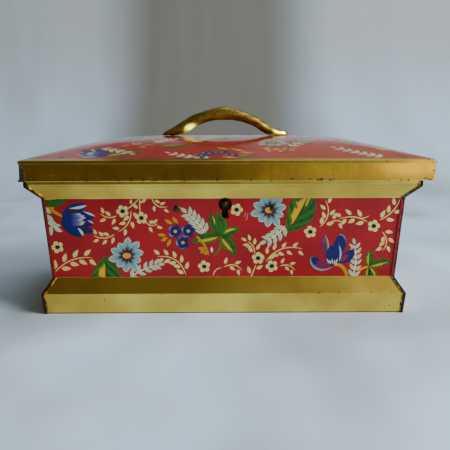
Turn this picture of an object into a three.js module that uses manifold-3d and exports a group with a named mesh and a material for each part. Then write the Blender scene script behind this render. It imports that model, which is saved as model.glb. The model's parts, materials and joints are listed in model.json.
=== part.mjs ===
// A printed tinplate casket: four mitred wall sheets with folded corner seams, a pressed bottom,
// an overhanging hipped lid on two strap hinges, a brass bow handle and a box lock.
// Millimetres, +X right, +Y back, +Z up. The origin is the middle of the underside.
import * as THREE from "three";
import { mergeVertices } from "three/addons/utils/BufferGeometryUtils.js";
import Module from "manifold-3d";

const wasm = await Module();
wasm.setup();

// Sheet, gaps and bends
const sheet = 0.4;
const seatGap = 0.3;
const mitreGap = 0.2;
const bendRadius = 0.9;
const bendSteps = 2;
const foldSteps = 6;
const turnedSides = 14;

// Body: the size over the cornice, then each band of the moulding from the table up
const corniceLength = 250.4;
const corniceBreadth = 165.4;
const baseHeight = 13.4;
const baseFlare = 1.5;
const plinthHeight = 9.6;
const plinthInset = 6.5;
const wallHeight = 52.75;
const wallFlare = 4.7;
const corniceHeight = 8.15;
const corniceOverhang = 9;
const hemRadius = 0.55;
const hemLength = 2.6;
const curlRadius = 1.1;
const curlSweep = 1.25 * Math.PI;

// Folded seam that locks two walls together at a corner
const seamWidth = 1.6;
const seamSheet = 0.7;

// Bottom tray
const trayFlange = 6;
const trayCorner = 3;

// Lid: its band clears the cornice by a play in front, and by one of its own at each end, because the lid
// sits to the right on its hinges
const lidPlay = 3.5;
const lidPlayLeft = 2.15;
const lidPlayRight = 7.2;
const reveal = 3.6;
const rimHeight = 13.3;
const flangeDrop = 2.2;
const lidCorner = 1.6;
const lidCornerSteps = 6;
const beadRadius = 0.65;
const roofPitch = 0.2288;
const roofCrown = 12.93;
const roofBlend = 2.9;
const roofSteps = 16;
const ridgeHalfBreadth = 1.5;
const hipSoftness = 0.3;

// Handle: it was bent by hand, and its left leg is stouter and straighter than its right one
const handleSpan = 90.6;
const handleOffset = 1.8;
const handleRise = 15.8;
const handleShoulder = 19.8;
const handleInstep = 32.4;
const handleToeRise = 0.5;
const handleGrip = 4.8;
const handleToe = 1.9;
const leftLeg = { shoulderDrop: 4.1, instepRise: 4.5, thigh: 4.15, ankle: 4.2 };
const rightLeg = { shoulderDrop: 5, instepRise: 2.95, thigh: 3.75, ankle: 3.4 };
const handleToeBreadth = 4.6;
const handleSteps = 32;
const handleSides = 14;
const studInset = 7.4;
const studRadius = 2;
const studHeadRadius = 3.6;
const studHeadHeight = 1.2;
const backplateWidth = 14;
const backplateSheet = 0.8;

// Hinges
const hingeSpacing = 140;
const hingeWidth = 24;
const hingeLeaf = 0.55;
const pinRadius = 1.3;
const pinPlay = 0.25;
const pinHeadRadius = 2;
const pinHeadHeight = 0.8;
const middleKnuckle = 7.8;
const knuckleGap = 0.3;
const knuckleSweep = (280 * Math.PI) / 180;
const hingeDrop = 0.84;
const leafTopBelowEave = 3.4;
const strapBend = 1.2;
const strapRivetSpacing = 16;
const leafRivetSpacing = 10;

// Rivets
const rivetShank = 1;
const rivetHole = 1.25;
const rivetHead = 1.9;
const rivetHeadHeight = 0.7;
const rivetTail = 1.6;
const rivetTailHeight = 0.5;

// Keyhole
const keyholeOffset = 1.1;
const keyholeBelowCornice = 4.1;
const keyholeRadius = 4.45;
const keyholeDepth = 9.25;
const keyholeNeck = 3.6;
const keyholeFoot = 5.1;

// Lock
const plateLength = 76;
const plateSheet = 0.8;
const plateRise = 12.5;
const plateDrop = 13;
const lockRivetMargin = 7;
const lockRivetDrop = 2.8;
const lockRivetHead = 2.2;
const caseLength = 34;
const caseDrop = 11;
const caseDepth = 8.5;
const caseSheet = 0.8;
const earLength = 6;
const earHeight = 8;
const drillPinRadius = 1.75;
const drillPinShoulder = 2.8;
const drillPinTail = 1.2;
const boltTravel = 5;
const boltTail = -13;
const boltTip = 8.2;
const boltSheet = 2;
const boltSetback = 4.2;
const boltFoot = 4.6;
const boltHeight = 5;
const tipLength = 5;
const tipHeight = 3.5;
const talonStart = -1.5;
const talonWidth = 4.5;
const talonDepth = 1.8;
const stumpPlace = -4;
const stumpNeck = 1.25;
const stumpCollar = 2.3;
const stumpHeadHeight = 0.9;
const stumpPlay = 0.2;
const springSheet = 0.4;
const springBreadth = 3;

// Keeper that hangs from the lid into the lock
const keeperGap = 1.2;
const keeperSheet = 1.6;
const keeperWidth = 5.4;
const keeperMargin = 2;
const eyePlay = 0.6;
const keeperFootLength = 12;
const keeperFootBreadth = 10;
const keeperFootSheet = 0.8;

// Heights and setbacks that follow from the sizes above. A setback is measured from the cornice face.
const baseTop = baseHeight;
const waist = baseTop + plinthHeight;
const wallTop = waist + wallHeight;
const corniceEdge = wallTop + corniceHeight;
const rimBottom = corniceEdge + reveal;
const eave = rimBottom + rimHeight;
const wallTopSetback = -corniceOverhang;
const waistSetback = wallTopSetback - wallFlare;
const baseTopSetback = waistSetback + plinthInset;
const baseSetback = baseTopSetback - baseFlare;
const bandSetback = sheet + seatGap;
const bandReach = sheet + bandSetback;
const lidHalfLength = (corniceLength + lidPlayLeft + lidPlayRight) / 2 + bandReach;
const lidHalfBreadth = corniceBreadth / 2 + lidPlay + bandReach;
const lidOffset = (lidPlayRight - lidPlayLeft) / 2;
const lidOverlap = Math.min(lidPlay, lidPlayLeft, lidPlayRight) + bandReach;

const halfLength = (setback) => corniceLength / 2 + setback;
const halfBreadth = (setback) => corniceBreadth / 2 + setback;

// Height of the soft hipped roof above its eave, at a distance in from the edge
function roofRise(inset) {
  const slope = Math.exp((-roofPitch * inset) / roofBlend);
  const crown = Math.exp(-roofCrown / roofBlend);
  return roofBlend * (Math.log(1 + crown) - Math.log(slope + crown));
}

const roofTop = (inset) => eave + roofRise(inset);
const roofUnderside = (inset) => roofTop(inset) - sheet * Math.hypot(1, roofPitch);
const fasciaTop = roofUnderside(lidOverlap) - seatGap;

// Solids: merging, cutting and joining
function signedVolume(geometry) {
  const position = geometry.getAttribute("position");
  const index = geometry.index.array;
  const corner = [new THREE.Vector3(), new THREE.Vector3(), new THREE.Vector3()];
  let volume = 0;
  for (let i = 0; i < index.length; i += 3) {
    corner.forEach((point, j) => point.fromBufferAttribute(position, index[i + j]));
    volume += corner[0].dot(corner[1].clone().cross(corner[2])) / 6;
  }
  return volume;
}

function closedMesh(geometry) {
  const bare = geometry.clone();
  bare.deleteAttribute("normal");
  bare.deleteAttribute("uv");
  const merged = mergeVertices(bare, 1e-4);
  if (signedVolume(merged) < 0) {
    const index = merged.index.array;
    for (let i = 0; i < index.length; i += 3) {
      [index[i + 1], index[i + 2]] = [index[i + 2], index[i + 1]];
    }
  }
  return merged;
}

function toSolid(geometry) {
  const merged = closedMesh(geometry);
  return new wasm.Manifold(
    new wasm.Mesh({
      numProp: 3,
      vertProperties: merged.getAttribute("position").array,
      triVerts: new Uint32Array(merged.index.array),
    }),
  );
}

function toGeometry(solid) {
  const mesh = solid.getMesh();
  const geometry = new THREE.BufferGeometry();
  geometry.setAttribute("position", new THREE.BufferAttribute(mesh.vertProperties, 3));
  geometry.setIndex(new THREE.BufferAttribute(mesh.triVerts, 1));
  return geometry;
}

const join = (...pieces) => toGeometry(pieces.map(toSolid).reduce((whole, next) => whole.add(next)));
const cut = (piece, ...tools) =>
  toGeometry(tools.map(toSolid).reduce((whole, tool) => whole.subtract(tool), toSolid(piece)));

// Forms
function block(x0, x1, y0, y1, z0, z1) {
  const box = new THREE.BoxGeometry(x1 - x0, y1 - y0, z1 - z0);
  return box.translate((x0 + x1) / 2, (y0 + y1) / 2, (z0 + z1) / 2);
}

// Skins a row of rings that all have as many points; a looped row joins its last ring to its first
function loft(rings, looped = false) {
  const count = rings[0].length;
  const index = [];
  const spans = looped ? rings.length : rings.length - 1;
  for (let i = 0; i < spans; i++) {
    const near = i * count;
    const far = ((i + 1) % rings.length) * count;
    for (let j = 0; j < count; j++) {
      const next = (j + 1) % count;
      index.push(near + j, near + next, far + next, near + j, far + next, far + j);
    }
  }
  if (!looped) {
    const last = (rings.length - 1) * count;
    for (let j = 1; j < count - 1; j++) {
      index.push(0, j + 1, j, last, last + j, last + j + 1);
    }
  }
  const geometry = new THREE.BufferGeometry().setFromPoints(rings.flat());
  geometry.setIndex(index);
  return geometry;
}

// Replaces each inner corner of a line by a small bend
function bent(corners, radius = bendRadius) {
  const points = [corners[0]];
  for (let i = 1; i < corners.length - 1; i++) {
    const before = corners[i - 1].clone().sub(corners[i]).normalize();
    const after = corners[i + 1].clone().sub(corners[i]).normalize();
    const halfTurn = (Math.PI - before.angleTo(after)) / 2;
    const reach = radius * Math.tan(halfTurn);
    const start = corners[i].clone().addScaledVector(before, reach);
    const end = corners[i].clone().addScaledVector(after, reach);
    points.push(...new THREE.QuadraticBezierCurve(start, corners[i], end).getPoints(bendSteps));
  }
  points.push(corners.at(-1));
  return points;
}

// Points on an arc, without its first point, so that it can follow a line
function arc(centreX, centreY, radius, from, to, steps = foldSteps) {
  return Array.from({ length: steps }, (_, i) => {
    const angle = from + ((to - from) * (i + 1)) / steps;
    return new THREE.Vector2(centreX + radius * Math.cos(angle), centreY + radius * Math.sin(angle));
  });
}

// Outline of a sheet whose one face is the given line, with its thickness to the left of the line
function sheetOutline(line, thickness) {
  const back = line.map((point, i) => {
    const before = (i ? point.clone().sub(line[i - 1]) : line[1].clone().sub(point)).normalize();
    const after = (line[i + 1] ? line[i + 1].clone().sub(point) : before.clone()).normalize();
    const left = new THREE.Vector2(-before.y - after.y, before.x + after.x).normalize();
    const spread = left.dot(new THREE.Vector2(-before.y, before.x));
    return point.clone().addScaledVector(left, thickness / spread);
  });
  return [...line, ...back.reverse()];
}

// Extrudes an outline drawn in Y and Z along X
function extrudeAlongX(outline, x0, x1) {
  const solid = new THREE.ExtrudeGeometry(new THREE.Shape(outline), {
    depth: x1 - x0,
    bevelEnabled: false,
    curveSegments: foldSteps,
  });
  const turn = new THREE.Matrix4().makeBasis(
    new THREE.Vector3(0, 1, 0),
    new THREE.Vector3(0, 0, 1),
    new THREE.Vector3(1, 0, 0),
  );
  return solid.applyMatrix4(turn).translate(x0, 0, 0);
}

// Extrudes an outline drawn in X and Z along Y
function extrudeAlongY(outline, y0, y1) {
  const shape = outline instanceof THREE.Shape ? outline : new THREE.Shape(outline);
  const solid = new THREE.ExtrudeGeometry(shape, {
    depth: y1 - y0,
    bevelEnabled: false,
    curveSegments: foldSteps,
  });
  const turn = new THREE.Matrix4().makeBasis(
    new THREE.Vector3(1, 0, 0),
    new THREE.Vector3(0, 0, 1),
    new THREE.Vector3(0, 1, 0),
  );
  return solid.applyMatrix4(turn).translate(0, y0, 0);
}

// Turns a profile of radius and place along Y into a solid on the Y axis
function turned(profile, sides = turnedSides) {
  return new THREE.LatheGeometry(
    profile.map(([radius, y]) => new THREE.Vector2(radius, y)),
    sides,
  );
}

function drill(radius, x, z, y0, y1) {
  return turned([[0, y0], [radius, y0], [radius, y1], [0, y1]]).translate(x, 0, z);
}

// A rivet along Y: a domed head before y = 0, the shank over the grip and a flat tail behind it
function rivet(grip, headRadius = rivetHead, tailHeight = rivetTailHeight) {
  const dome = (share) => [headRadius * Math.sin(share), -rivetHeadHeight * Math.cos(share)];
  const tailRadius = tailHeight ? rivetTail : rivetShank;
  return turned([
    [0, -rivetHeadHeight],
    dome(Math.PI / 6),
    dome(Math.PI / 3),
    [headRadius, 0],
    [rivetShank, 0],
    [rivetShank, grip],
    ...(tailHeight ? [[tailRadius, grip], [tailRadius, grip + tailHeight]] : []),
    [0, grip + tailHeight],
  ]);
}

// Corners of a rounded rectangle, the same count at every size
function roundedRectangle(halfX, halfY, radius, z) {
  const ring = [];
  const turn = Math.PI / 2;
  [[1, 1], [-1, 1], [-1, -1], [1, -1]].forEach(([sideX, sideY], quarter) => {
    for (let i = 0; i <= lidCornerSteps; i++) {
      const angle = (quarter + i / lidCornerSteps) * turn;
      const x = sideX * (halfX - radius) + radius * Math.cos(angle);
      const y = sideY * (halfY - radius) + radius * Math.sin(angle);
      ring.push(new THREE.Vector3(x, y, z));
    }
  });
  return ring;
}

// Finishes
const finish = (color, roughness, metalness) =>
  new THREE.MeshStandardMaterial({ color, roughness, metalness });
const enamel = finish(0x8c1419, 0.3, 0.2);
const gold = finish(0xaa964b, 0.3, 0.9);
const tin = finish(0x9a978c, 0.4, 0.9);
const brass = finish(0x8a6a24, 0.35, 1);
const steel = finish(0x5a5650, 0.5, 0.9);

const box = new THREE.Group();
const body = new THREE.Group();
const lid = new THREE.Group();
box.add(body, lid);

function piece(name, geometry, material, parent) {
  const mesh = new THREE.Mesh(closedMesh(geometry), material);
  mesh.name = name;
  parent.add(mesh);
  return mesh;
}

// Walls: one moulding profile, from the hem at the bottom to the curled edge under the lid
const moulding = bent([
  new THREE.Vector2(baseSetback, 0),
  new THREE.Vector2(baseTopSetback, baseTop),
  new THREE.Vector2(waistSetback, waist),
  new THREE.Vector2(wallTopSetback, wallTop),
  new THREE.Vector2(0, corniceEdge),
  new THREE.Vector2(0, fasciaTop),
]);

function wallOutline() {
  const hemCentre = baseSetback - hemRadius;
  const curlCentre = fasciaTop - curlRadius;
  const line = [
    new THREE.Vector2(hemCentre - hemRadius, hemRadius + hemLength),
    new THREE.Vector2(hemCentre - hemRadius, hemRadius),
    ...arc(hemCentre, hemRadius, hemRadius, Math.PI, 2 * Math.PI),
    ...moulding.slice(1, -1),
    new THREE.Vector2(0, curlCentre),
    ...arc(-curlRadius, curlCentre, curlRadius, 0, curlSweep),
  ];
  return sheetOutline(line, sheet);
}

// A wall with its outside to -Y; its ends are mitred, so they follow the moulding round the corner
function wall(runAt, placeAt) {
  const extruded = new THREE.ExtrudeGeometry(new THREE.Shape(wallOutline()), {
    depth: 1,
    bevelEnabled: false,
  });
  const position = extruded.getAttribute("position");
  for (let i = 0; i < position.count; i++) {
    const setback = position.getX(i);
    const end = position.getZ(i) > 0.5 ? 1 : -1;
    position.setXYZ(i, end * (runAt(setback) - mitreGap), -placeAt(setback), position.getY(i));
  }
  return extruded;
}

// The folded seam at the front right corner of the body, as an angle strip round the corner
function cornerSeam() {
  const out = seatGap + seamSheet;
  const section = [
    [-sheet / 4, -seatGap],
    [-seamWidth, -seatGap],
    [-seamWidth, -out],
    [seamSheet, -out],
    [seamSheet, seamWidth],
    [-sheet / 4, seamWidth],
  ];
  const levels = [...moulding.slice(0, -1), new THREE.Vector2(0, rimBottom - seatGap)];
  return loft(
    levels.map((level) =>
      section.map(([x, y]) => {
        const cornerX = halfLength(level.x);
        const cornerY = -halfBreadth(level.x);
        return new THREE.Vector3(cornerX + x, cornerY + y, level.y);
      }),
    ),
  );
}

function sideWall() {
  const panel = wall(halfBreadth, halfLength).rotateZ(Math.PI / 2);
  const front = cornerSeam();
  const back = cornerSeam().scale(1, -1, 1);
  return join(panel, front, back);
}

// Lock frame: its origin is the keyhole centre on the inner face of the front wall, its Z runs up the wall
const keyholeHeight = wallTop - keyholeBelowCornice;
const wallLean = Math.atan(wallFlare / wallHeight);
const keyholeSetback = wallTopSetback - keyholeBelowCornice * Math.tan(wallLean);
const lock = new THREE.Group();
lock.position.set(keyholeOffset, sheet / Math.cos(wallLean) - halfBreadth(keyholeSetback), keyholeHeight);
lock.rotation.x = wallLean;
lock.updateMatrix();
body.add(lock);

function keyhole() {
  const shape = new THREE.Shape();
  const neckAngle = Math.asin(keyholeNeck / 2 / keyholeRadius);
  const top = Math.PI * 1.5;
  shape.absarc(0, 0, keyholeRadius, top + neckAngle, top - neckAngle + 2 * Math.PI, false);
  shape.lineTo(-keyholeFoot / 2, -keyholeDepth);
  shape.lineTo(keyholeFoot / 2, -keyholeDepth);
  return shape;
}

const throughWall = [-3 * sheet, 2 * plateSheet];
const inWall = (geometry) => geometry.applyMatrix4(lock.matrix);
const lockRivetSpacing = plateLength - 2 * lockRivetMargin;
const lockRivetPlaces = [["left", -lockRivetSpacing / 2], ["right", lockRivetSpacing / 2]];
const lockRivetHoles = () =>
  lockRivetPlaces.map(([, x]) => drill(rivetHole, x, -lockRivetDrop, ...throughWall));

const frontWall = cut(
  wall(halfLength, halfBreadth),
  inWall(extrudeAlongY(keyhole(), ...throughWall)),
  ...lockRivetHoles().map(inWall),
);
piece("front_panel", frontWall, enamel, body);

// Hinges: the leaf on the body rises behind the lid rim, the strap on the lid passes under it
const knuckleRadius = pinRadius + pinPlay + hingeLeaf;
const hingeAxis = {
  y: halfBreadth(0) + seatGap + knuckleRadius,
  z: corniceEdge + hingeDrop,
};
const rimBack = lidHalfBreadth - sheet - seatGap;
const beadOut = lidHalfBreadth - bandSetback - sheet + 2 * beadRadius;
const strapOut = beadOut + seatGap + hingeLeaf;
const leafTop = eave - leafTopBelowEave;
const strapRivetHeight = (rimBottom + 2 * beadRadius + leafTop) / 2;
const leafRivetHeight = strapRivetHeight - rivetHead / 2;
const hinges = [["left", -hingeSpacing / 2], ["right", hingeSpacing / 2]];
const hingeRivets = (spacing) =>
  hinges.flatMap(([side, centre]) => [
    [`${side}_1`, centre - spacing / 2],
    [`${side}_2`, centre + spacing / 2],
  ]);
const leafHoles = () =>
  hingeRivets(leafRivetSpacing).map(([, x]) =>
    drill(rivetHole, x, leafRivetHeight, halfBreadth(0) - 2 * sheet, hingeAxis.y),
  );
const strapHoles = () =>
  hingeRivets(strapRivetSpacing).map(([, x]) =>
    drill(rivetHole, x, strapRivetHeight, rimBack - 3 * sheet, strapOut + sheet),
  );

const backWall = cut(wall(halfLength, halfBreadth).rotateZ(Math.PI), ...leafHoles());
piece("back_panel", backWall, enamel, body);
piece("right_panel", sideWall(), enamel, body);
piece("left_panel", sideWall().scale(-1, 1, 1), enamel, body);

// Bottom: a shallow tray inside the hems
const trayHalfLength = halfLength(baseSetback) - 2 * hemRadius - seatGap;
const trayHalfBreadth = halfBreadth(baseSetback) - 2 * hemRadius - seatGap;
const tray = cut(
  loft([0, trayFlange].map((z) => roundedRectangle(trayHalfLength, trayHalfBreadth, trayCorner, z))),
  loft(
    [sheet, 2 * trayFlange].map((z) =>
      roundedRectangle(trayHalfLength - sheet, trayHalfBreadth - sheet, trayCorner - sheet, z),
    ),
  ),
);
piece("bottom_plate", tray, tin, body);

// Lid: the domed sheet with its flange, over a band with a rolled edge
function lidRing(inset, z) {
  const halfX = lidHalfLength - inset;
  const halfY = lidHalfBreadth - inset;
  const radius = Math.min(lidCorner + hipSoftness * inset, halfY);
  return roundedRectangle(halfX, halfY, radius, z);
}

function lidSheet() {
  const reach = lidHalfBreadth - ridgeHalfBreadth;
  const insets = Array.from({ length: roofSteps + 1 }, (_, i) => (reach * i) / roofSteps);
  const outside = insets.map((inset) => lidRing(inset, roofTop(inset)));
  const inside = insets.map((inset) => {
    const inner = Math.max(inset, sheet);
    return lidRing(inner, roofUnderside(inner));
  });
  const flangeInside = lidRing(sheet, eave - flangeDrop);
  const flangeOutside = lidRing(0, eave - flangeDrop);
  return loft([...inside.reverse(), flangeInside, flangeOutside, ...outside]).translate(lidOffset, 0, 0);
}

function lidBand() {
  const inner = -bandSetback - sheet;
  const centre = rimBottom + beadRadius;
  const line = [
    new THREE.Vector2(inner, eave - sheet - seatGap),
    new THREE.Vector2(inner, centre),
    ...arc(inner + beadRadius, centre, beadRadius, Math.PI, 2.4 * Math.PI),
  ];
  const outline = sheetOutline(line, sheet);
  const corners = roundedRectangle(lidHalfLength, lidHalfBreadth, lidCorner, 0);
  const rings = corners.map((point, i) => {
    const quarter = Math.floor(i / (lidCornerSteps + 1));
    const angle = ((quarter + (i % (lidCornerSteps + 1)) / lidCornerSteps) * Math.PI) / 2;
    return outline.map(
      (at) =>
        new THREE.Vector3(point.x + at.x * Math.cos(angle), point.y + at.x * Math.sin(angle), at.y),
    );
  });
  return loft(rings, true).translate(lidOffset, 0, 0);
}

// Handle: a bow whose ends flatten to feet, with a clinched stud under each foot
const crest = roofTop(lidHalfBreadth);
const studPlace = handleSpan / 2 - studInset;
const footPlane = crest + seatGap;
const backplateTop = roofUnderside(lidHalfBreadth - backplateWidth / 2) - seatGap;

function bow() {
  const top = footPlane + handleRise - seatGap;
  const leg = (side, { shoulderDrop, instepRise }) => [
    [(side * handleSpan) / 2, footPlane + handleToeRise],
    [side * handleInstep, footPlane + instepRise],
    [side * handleShoulder, top - shoulderDrop],
  ];
  const line = new THREE.CatmullRomCurve3(
    [...leg(-1, leftLeg), [0, top], ...leg(1, rightLeg).reverse()].map(
      ([x, z]) => new THREE.Vector3(x, 0, z),
    ),
  );
  const depthOf = ({ thigh, ankle }) =>
    new THREE.SplineCurve([
      new THREE.Vector2(0, handleGrip),
      new THREE.Vector2(handleShoulder, thigh),
      new THREE.Vector2(handleInstep, ankle),
      new THREE.Vector2(handleSpan / 2, handleToe),
    ]);
  const depths = { left: depthOf(leftLeg), right: depthOf(rightLeg) };
  const rings = [];
  for (let i = 0; i <= handleSteps; i++) {
    const centre = line.getPoint(i / handleSteps);
    const tangent = line.getTangent(i / handleSteps);
    const share = Math.abs(centre.x) / (handleSpan / 2);
    const nose = Math.sqrt(Math.max(1 - share ** 16, 0.05));
    const depth = centre.x < 0 ? depths.left : depths.right;
    const inPlane = depth.getPoint(share).y * nose;
    const across = (handleGrip + (handleToeBreadth - handleGrip) * share ** 4) * nose;
    const ring = [];
    for (let j = 0; j < handleSides; j++) {
      const angle = (2 * Math.PI * j) / handleSides;
      const lift = inPlane * Math.cos(angle);
      const side = across * Math.sin(angle);
      ring.push(new THREE.Vector3(centre.x - tangent.z * lift, side, centre.z + tangent.x * lift));
    }
    rings.push(ring);
  }
  return loft(rings);
}

function stud(x) {
  const headTop = backplateTop - backplateSheet - seatGap;
  const profile = [
    [0, headTop - studHeadHeight],
    [studHeadRadius * 0.8, headTop - studHeadHeight],
    [studHeadRadius, headTop - studHeadHeight / 2],
    [studHeadRadius, headTop],
    [studRadius, headTop],
    [studRadius, footPlane + handleToe / 2],
    [0, footPlane + handleToe / 2],
  ];
  return turned(profile).rotateX(Math.PI / 2).translate(x, 0, 0);
}

const belowFoot = block(-handleSpan, handleSpan, -handleSpan, handleSpan, 0, footPlane);
const studPlaces = [["left", handleOffset - studPlace], ["right", handleOffset + studPlace]];
const studHole = (x) =>
  drill(studRadius + seatGap, 0, 0, crest - roofCrown, crest + roofCrown)
    .rotateX(Math.PI / 2)
    .translate(x, 0, 0);
piece("lid_top", cut(lidSheet(), ...studPlaces.map(([, x]) => studHole(x))), enamel, lid);
piece("lid_rim", cut(lidBand(), ...strapHoles()), gold, lid);
const feet = cut(bow().translate(handleOffset, 0, 0), belowFoot);
piece("handle", join(feet, ...studPlaces.map(([, x]) => stud(x))), brass, lid);
for (const [side, x] of studPlaces) {
  const half = backplateWidth / 2;
  const plate = block(x - half, x + half, -half, half, backplateTop - backplateSheet, backplateTop);
  piece(`handle_backplate_${side}`, cut(plate, studHole(x)), steel, lid);
}

// Hinge leaves, pins and rivets
const atAxis = (y, z) => new THREE.Vector2(hingeAxis.y + y, hingeAxis.z + z);
const knuckle = (from) =>
  arc(hingeAxis.y, hingeAxis.z, knuckleRadius, from, from + knuckleSweep, 2 * foldSteps);
const middleHalf = middleKnuckle / 2;
const hingeHalf = hingeWidth / 2;

function bodyLeaf() {
  const back = -knuckleRadius;
  const loopLine = [atAxis(back, 2 * knuckleRadius), atAxis(back, 0), ...knuckle(Math.PI)];
  const loop = extrudeAlongX(sheetOutline(loopLine, hingeLeaf), -middleHalf, middleHalf);
  const leafBottom = hingeAxis.z + knuckleRadius + 2 * knuckleGap;
  const inner = hingeAxis.y + back;
  const plate = block(-hingeHalf, hingeHalf, inner, inner + hingeLeaf, leafBottom, leafTop);
  return join(loop, plate);
}

function lidStrap() {
  const start = 1.5 * Math.PI - knuckleSweep;
  const corner = [
    atAxis(0, -knuckleRadius),
    new THREE.Vector2(strapOut, hingeAxis.z - knuckleRadius),
    new THREE.Vector2(strapOut, leafTop),
  ];
  const line = [...knuckle(start), ...bent(corner, strapBend).slice(1)];
  const outline = sheetOutline(line, hingeLeaf);
  const inner = middleHalf + knuckleGap;
  const right = extrudeAlongX(outline, inner, hingeHalf);
  const left = extrudeAlongX(outline, -hingeHalf, -inner);
  const plateFoot = hingeAxis.z + 2 * knuckleGap;
  const reach = inner + knuckleGap;
  const plate = block(-reach, reach, strapOut - hingeLeaf, strapOut, plateFoot, leafTop);
  return join(right, left, plate);
}

function hingePin() {
  const end = hingeHalf + knuckleGap;
  return turned([
    [0, -end - pinHeadHeight],
    [pinHeadRadius, -end - pinHeadHeight / 2],
    [pinHeadRadius, -end],
    [pinRadius, -end],
    [pinRadius, end],
    [pinHeadRadius, end],
    [pinHeadRadius, end + pinHeadHeight / 2],
    [0, end + pinHeadHeight],
  ]).rotateZ(Math.PI / 2);
}

for (const [side, x] of hinges) {
  const leaf = cut(bodyLeaf().translate(x, 0, 0), ...leafHoles());
  const strap = cut(lidStrap().translate(x, 0, 0), ...strapHoles());
  piece(`hinge_leaf_${side}`, leaf, steel, body);
  piece(`hinge_strap_${side}`, strap, steel, lid);
  piece(`hinge_pin_${side}`, hingePin(), steel, body).position.set(x, hingeAxis.y, hingeAxis.z);
}
const leafGrip = 3 * seatGap + hingeLeaf + sheet;
for (const [name, x] of hingeRivets(leafRivetSpacing)) {
  const headFace = halfBreadth(0) + 2 * seatGap + hingeLeaf;
  const mesh = piece(`leaf_rivet_${name}`, rivet(leafGrip).rotateZ(Math.PI), steel, body);
  mesh.position.set(x, headFace, leafRivetHeight);
}
const strapGrip = strapOut - rimBack + sheet + 2 * seatGap;
for (const [name, x] of hingeRivets(strapRivetSpacing)) {
  const mesh = piece(`strap_rivet_${name}`, rivet(strapGrip).rotateZ(Math.PI), steel, lid);
  mesh.position.set(x, strapOut + seatGap, strapRivetHeight);
}

// Lock, in its own frame: plate, case, drill pin, bolt on its stump, and a spring that holds the bolt
const plateFace = seatGap;
const caseFace = plateFace + plateSheet + seatGap;
const caseBack = caseFace + caseDepth;
const caseHalf = caseLength / 2;
const earHalf = caseHalf + earLength / 2;
const boltBack = boltSetback + boltSheet;
const boltTop = boltFoot + boltHeight;
const boltMiddle = boltFoot + boltHeight / 2 + stumpPlay;
const tipFoot = boltFoot + (boltHeight - tipHeight) / 2;
const keeperLeft = boltTip + keeperGap;
const keeperRight = keeperLeft + keeperSheet;
const caseRivetPlaces = [["left", -earHalf], ["right", earHalf]];

function lockPlate() {
  const half = plateLength / 2;
  const blank = block(-half, half, plateFace, plateFace + plateSheet, -plateDrop, plateRise);
  return cut(
    blank,
    extrudeAlongY(keyhole(), ...throughWall),
    ...lockRivetHoles(),
    ...caseRivetPlaces.map(([, x]) => drill(rivetHole, x, 0, ...throughWall)),
    drill(drillPinTail + stumpPlay, stumpPlace, boltMiddle, ...throughWall),
  );
}

function lockCase() {
  const half = caseHalf;
  const inner = half - caseSheet;
  const earReach = half + earLength;
  const shell = cut(
    block(-half, half, caseFace, caseBack, -caseDrop, plateRise),
    block(-inner, inner, 0, caseBack - caseSheet, caseSheet - caseDrop, plateRise - caseSheet),
    block(
      keeperLeft - keeperGap, keeperRight + keeperGap,
      caseFace + caseSheet, caseBack - caseSheet, 0, 2 * plateRise,
    ),
    drill(drillPinTail + stumpPlay, 0, 0, caseFace, 2 * caseBack),
  );
  const ears = cut(
    block(-earReach, earReach, caseFace, caseFace + caseSheet, -earHeight / 2, earHeight / 2),
    block(-inner, inner, 0, caseBack, -earHeight, earHeight),
    ...caseRivetPlaces.map(([, x]) => drill(rivetHole, x, 0, 0, caseBack)),
  );
  return join(shell, ears);
}

function drillPin() {
  const shoulder = caseBack - caseSheet - seatGap;
  const tail = caseBack + seatGap;
  const chamfer = seatGap;
  return turned([
    [0, -sheet / 2],
    [drillPinRadius - chamfer, -sheet / 2],
    [drillPinRadius, chamfer - sheet / 2],
    [drillPinRadius, shoulder - caseSheet],
    [drillPinShoulder, shoulder - caseSheet],
    [drillPinShoulder, shoulder],
    [drillPinTail, shoulder],
    [drillPinTail, tail],
    [drillPinRadius, tail],
    [drillPinRadius, tail + rivetTailHeight],
    [0, tail + rivetTailHeight],
  ]);
}

function bolt() {
  const slotHalf = stumpNeck + stumpPlay;
  return cut(
    block(boltTail, boltTip, boltSetback, boltBack, boltFoot, boltTop),
    block(boltTip - tipLength, 2 * boltTip, 0, caseBack, 0, tipFoot),
    block(boltTip - tipLength, 2 * boltTip, 0, caseBack, tipFoot + tipHeight, plateRise),
    block(talonStart, talonStart + talonWidth, 0, caseBack, 0, boltFoot + talonDepth),
    block(
      stumpPlace - boltTravel - slotHalf, stumpPlace + slotHalf,
      0, caseBack, boltMiddle - slotHalf, boltMiddle + slotHalf,
    ),
  );
}

function stump() {
  const collarEnd = boltSetback - seatGap;
  const headFace = boltBack + seatGap;
  return turned([
    [0, plateFace],
    [drillPinTail, plateFace],
    [drillPinTail, caseFace],
    [stumpCollar, caseFace],
    [stumpCollar, collarEnd],
    [stumpNeck, collarEnd],
    [stumpNeck, headFace],
    [stumpCollar, headFace],
    [stumpCollar, headFace + stumpHeadHeight],
    [0, headFace + stumpHeadHeight],
  ]);
}

function spring() {
  const start = caseSheet + seatGap - caseHalf;
  const held = plateRise - caseSheet - seatGap - springSheet;
  const nose = boltTop + seatGap;
  const line = new THREE.SplineCurve([
    new THREE.Vector2(start, held),
    new THREE.Vector2(start / 2 + stumpPlace / 2, held),
    new THREE.Vector2(stumpPlace, nose),
    new THREE.Vector2(-stumpPlace / 2, held),
  ]).getPoints(3 * foldSteps);
  const middle = (boltSetback + boltBack) / 2;
  const half = springBreadth / 2;
  return extrudeAlongY(sheetOutline(line, springSheet), middle - half, middle + half);
}

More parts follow.
